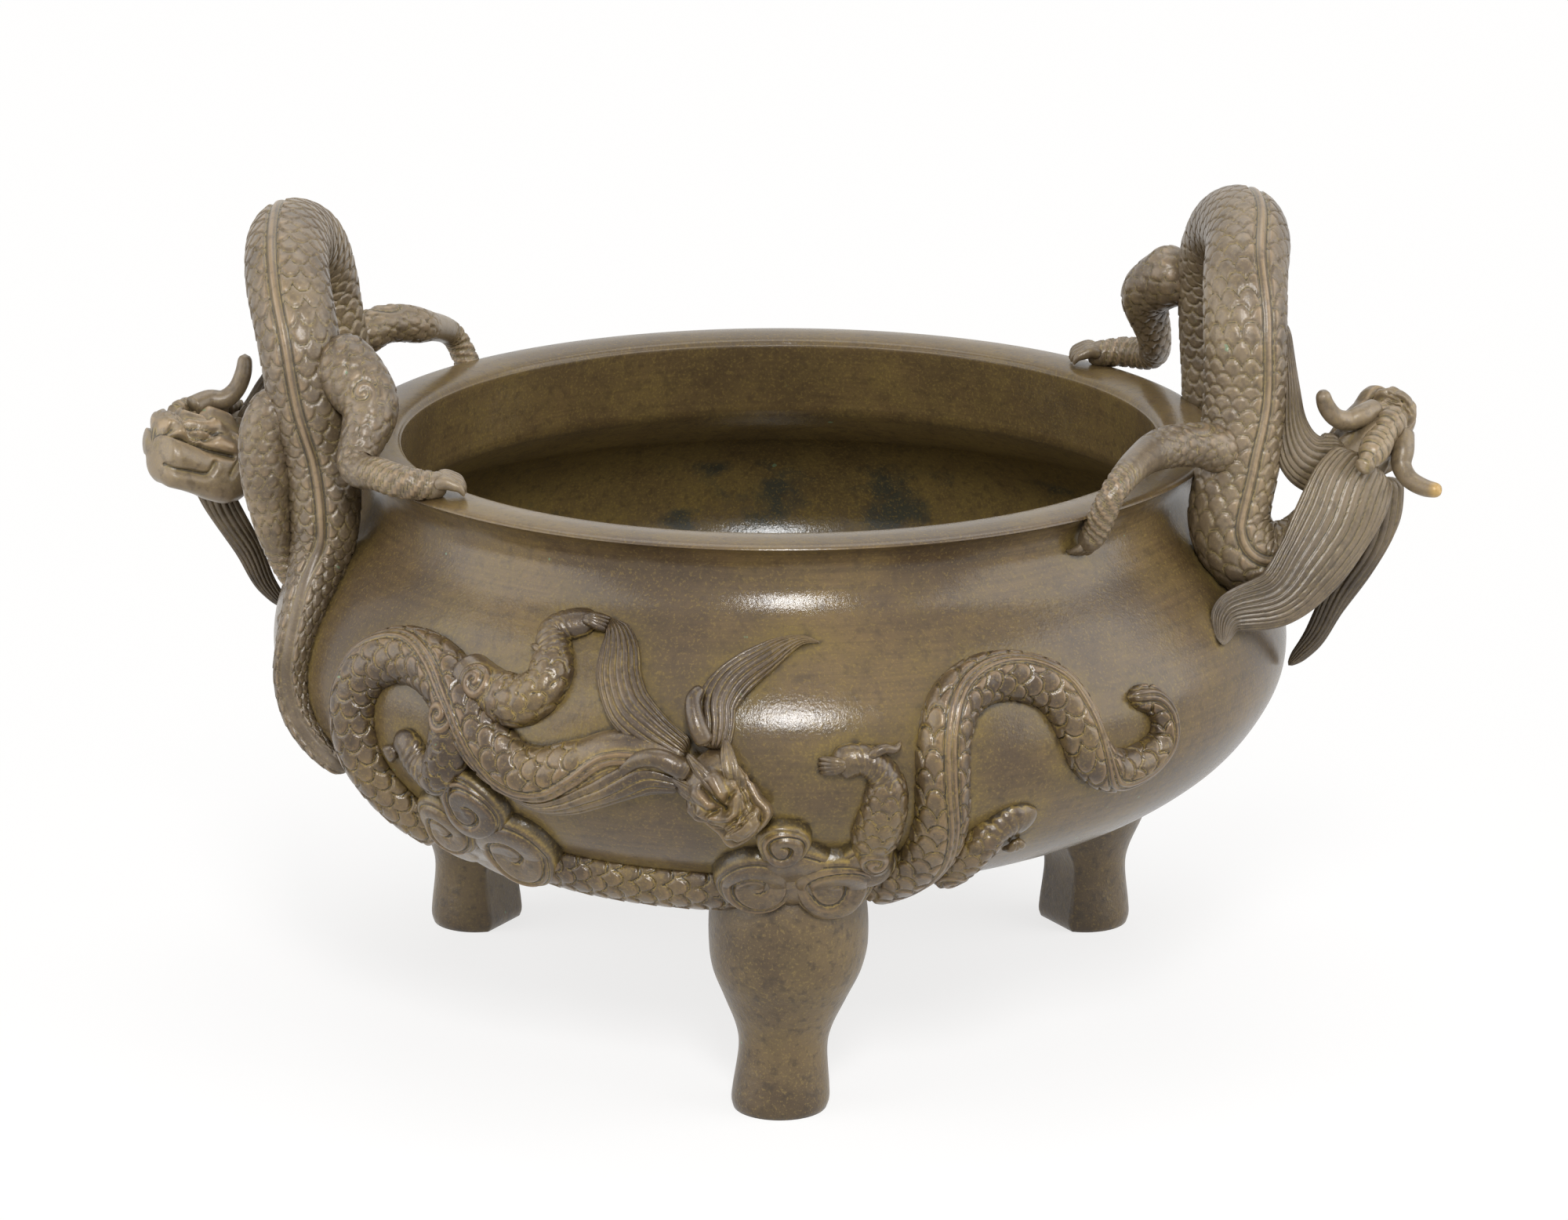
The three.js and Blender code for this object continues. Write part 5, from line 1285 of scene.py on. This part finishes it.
# Legs and bowl
def leg(side, degrees, hip_offset):
    """A turned leg with a flat inner side, cut off under the bowl's floor."""
    fine, _ = evenly(LEG_SHARES, lambda table: table[:, :1], LEG_STEP)
    height = fine[:, :1]
    radius = fine[:, 1:] * HIP_WIDTH / 2
    gape = np.arcsin(INNER_FACE_WIDTH / 2 / radius)
    share = np.linspace(0, 1, LEG_COLUMNS)[None]
    angle = (gape - math.pi) * (1 - share) + (math.pi - gape) * share
    round_places = np.stack(
        [
            radius * np.sin(angle) + hip_offset * np.minimum(height, 1),
            -LEG_AXIS_RADIUS - radius * np.cos(angle),
            np.broadcast_to(height * HIP_LEVEL, angle.shape),
        ],
        axis=-1,
    )
    out = np.hypot(round_places[..., 0], round_places[..., 1])
    underside = wall_points[: WALL_STATIONS // 2]
    roof = np.interp(out, underside[:, 0], underside[:, 1]) + WALL_THICKNESS / 2
    round_places[..., 2] = np.minimum(round_places[..., 2], roof)
    flat_share = np.linspace(0, 1, FLAT_COLUMNS)[None, 1:-1, None]
    flat_places = round_places[:, -1:] * (1 - flat_share) + round_places[:, :1] * flat_share
    places = np.concatenate([round_places, flat_places], axis=1)
    foot = places[:1] * np.array([1, 1, 0])
    centre = foot.mean(axis=1, keepdims=True)
    rings = [centre + (foot - centre) * size for size in SOLE_RINGS]
    places = np.concatenate([*rings, places])
    places, hollow = pinched(places, np.full(places.shape[:2], 0.5))
    skin(f"{side}_leg", turned(places, degrees), hollow, leg_bronze, [f"leg_{side}"])


def near_relief(points):
    """How close each point is to a raised piece, from 0 to about 1."""
    corners = []
    for piece in bpy.data.objects:
        raised = piece.name.startswith(("front_", "back_", "right_", "left_"))
        if not raised or piece.hide_render or "_relief_" in piece.name or "_dragon_" in piece.name:
            continue
        flat = np.empty(len(piece.data.vertices) * 3, np.float32)
        piece.data.vertices.foreach_get("co", flat)
        corners.append(flat.reshape(-1, 3)[::SAMPLE_STEP])
    corners = np.concatenate(corners)
    tree = KDTree(len(corners))
    for k, corner in enumerate(corners):
        tree.insert(corner, k)
    tree.balance()
    away = np.array([tree.find(point)[2] for point in points])
    # The short reach gives a thin line of painted shade where a piece meets the wall, and the long reach
    # gives the dust round it
    return 0.55 * np.exp(-away / 0.001) + 0.55 * np.exp(-away / 0.014)


def bowl():
    """The bowl in one skin: up the outer wall, over the lip and down the inner wall."""
    outer = np.stack(wall_at(np.linspace(0, 0.993, OUTER_RINGS)), axis=1)
    lip = [(LIP_RADIUS + out, RIM_LEVEL + up) for out, up in LIP_STEPS]
    lip += [(MOUTH_RADIUS + out, RIM_LEVEL + up) for out, up in MOUTH_STEPS]
    lip = columns_at(lip, np.linspace(0, 1, LIP_RINGS))
    inner = np.stack(wall_at(np.linspace(0.83, 0, INNER_RINGS), -WALL_THICKNESS), axis=1)
    outer[0, 0] = 0
    inner[-1, 0] = 0
    profile = np.concatenate([outer, lip, inner])
    degrees = np.linspace(0, 360, BOWL_COLUMNS, endpoint=False)
    places = round_bowl(degrees[None], profile[:, 0:1], profile[:, 1:2])
    close = near_relief(places[:OUTER_RINGS].reshape(-1, 3)).reshape(OUTER_RINGS, -1)
    inside = OUTER_RINGS + LIP_RINGS
    hollow = np.full(places.shape[:2], EDGE_HOLLOW)
    # Close to the raised pieces the wall holds dust, and where they touch it there is a thin line of painted
    # shade
    hollow[:OUTER_RINGS] = np.clip(WALL_HOLLOW + (1 - WALL_HOLLOW) * close, 0, 1)
    hollow[OUTER_RINGS + EDGE_RINGS:] = RIM_HOLLOW
    hollow[inside:] = INSIDE_HOLLOW
    soot = np.zeros(len(profile))
    soot[inside + CLEAN_RINGS:] = 1
    skin("bowl", places, hollow, bowl_bronze, ["vessel_body"], soot=soot)


for relief_side, relief_turn in (("front", 0), ("back", 180)):
    relief_dragon(relief_side, relief_turn)
for one_handle in HANDLES:
    handle_dragon(one_handle)
leg("front", 0, FRONT_HIP_OFFSET)
leg("right", 120, 0)
leg("left", 240, 0)
bowl()


# Studio
def seen_directly(tree):
    """1 for what the camera sees, also in metal or through glass."""
    ray = tree.nodes.new("ShaderNodeLightPath")
    total = ray.outputs["Is Camera Ray"]
    for kind in ("Is Glossy Ray", "Is Transmission Ray"):
        total = add_node(tree, "Math", {0: total, 1: ray.outputs[kind]}, operation="MAXIMUM")
    return total


def paper_floor():
    """Pale matt paper that keeps the shadow, and that the camera sees fade into white further off."""
    bpy.ops.mesh.primitive_plane_add(size=FLOOR_SIZE, location=(0, 0, 0))
    floor = bpy.context.object
    floor.name = "studio_floor"
    paper = bpy.data.materials.new("pale_paper")
    paper.use_nodes = True
    nodes = paper.node_tree.nodes
    add = partial(add_node, paper.node_tree)
    matt = nodes["Principled BSDF"]
    feed(paper.node_tree, matt, {"Base Color": (0.86, 0.86, 0.86, 1), "Roughness": 0.9})
    glow = add("Emission", {"Color": (1, 0.995, 0.99, 1), "Strength": 1})
    distance = add("VectorMath", {0: add("TexCoord", {}, "Object")}, "Value", operation="LENGTH")
    reach = {"Value": distance, "From Min": 0.09, "From Max": 0.3, "To Min": 0.76, "To Max": 1}
    white = add("MapRange", reach, "Result", interpolation_type="SMOOTHSTEP")
    seen = add("Math", {0: seen_directly(paper.node_tree), 1: white}, operation="MULTIPLY")
    surface = add("MixShader", {"Fac": seen, 1: matt.outputs["BSDF"], 2: glow})
    feed(paper.node_tree, nodes["Material Output"], {"Surface": surface})
    floor.data.materials.append(paper)


def air(scene):
    """White where the camera looks, and soft light for everything else."""
    world = bpy.data.worlds.new("studio_air")
    scene.world = world
    world.use_nodes = True
    tree = world.node_tree
    white = add_node(tree, "Background", {"Color": (1, 1, 1, 1), "Strength": 1})
    soft = tree.nodes["Background"]
    feed(tree, soft, {"Color": (1, 0.985, 0.96, 1), "Strength": 0.33})
    shown = {"Fac": seen_directly(tree), 1: soft.outputs["Background"], 2: white}
    feed(tree, tree.nodes["World Output"], {"Surface": add_node(tree, "MixShader", shown)})


def softbox(scene, name, place, aim, size, watts):
    """A soft lamp at a place, turned to what it aims at."""
    lamp = bpy.data.lights.new(name, "AREA")
    lamp.shape = "RECTANGLE"
    lamp.size, lamp.size_y = size
    lamp.energy = watts
    piece = bpy.data.objects.new(name, lamp)
    scene.collection.objects.link(piece)
    piece.location = place
    east, north, up = np.array(aim, float) - np.array(place, float)
    piece.rotation_euler = (math.atan2(math.hypot(east, north), -up), 0, math.atan2(-east, north))


def photo_camera(scene):
    """The camera that was fitted to the photo."""
    camera = bpy.data.cameras.new("photo_camera")
    camera.sensor_width = CAMERA_SENSOR
    camera.lens = CAMERA_LENS
    piece = bpy.data.objects.new("photo_camera", camera)
    scene.collection.objects.link(piece)
    piece.location = CAMERA_PLACE
    piece.rotation_euler = (math.pi / 2 - CAMERA_PITCH, 0, 0)
    scene.camera = piece


studio = bpy.context.scene
studio.view_settings.view_transform = "Standard"
paper_floor()
air(studio)
for softbox_name, softbox_look in SOFTBOXES.items():
    softbox(studio, softbox_name, *softbox_look)
photo_camera(studio)
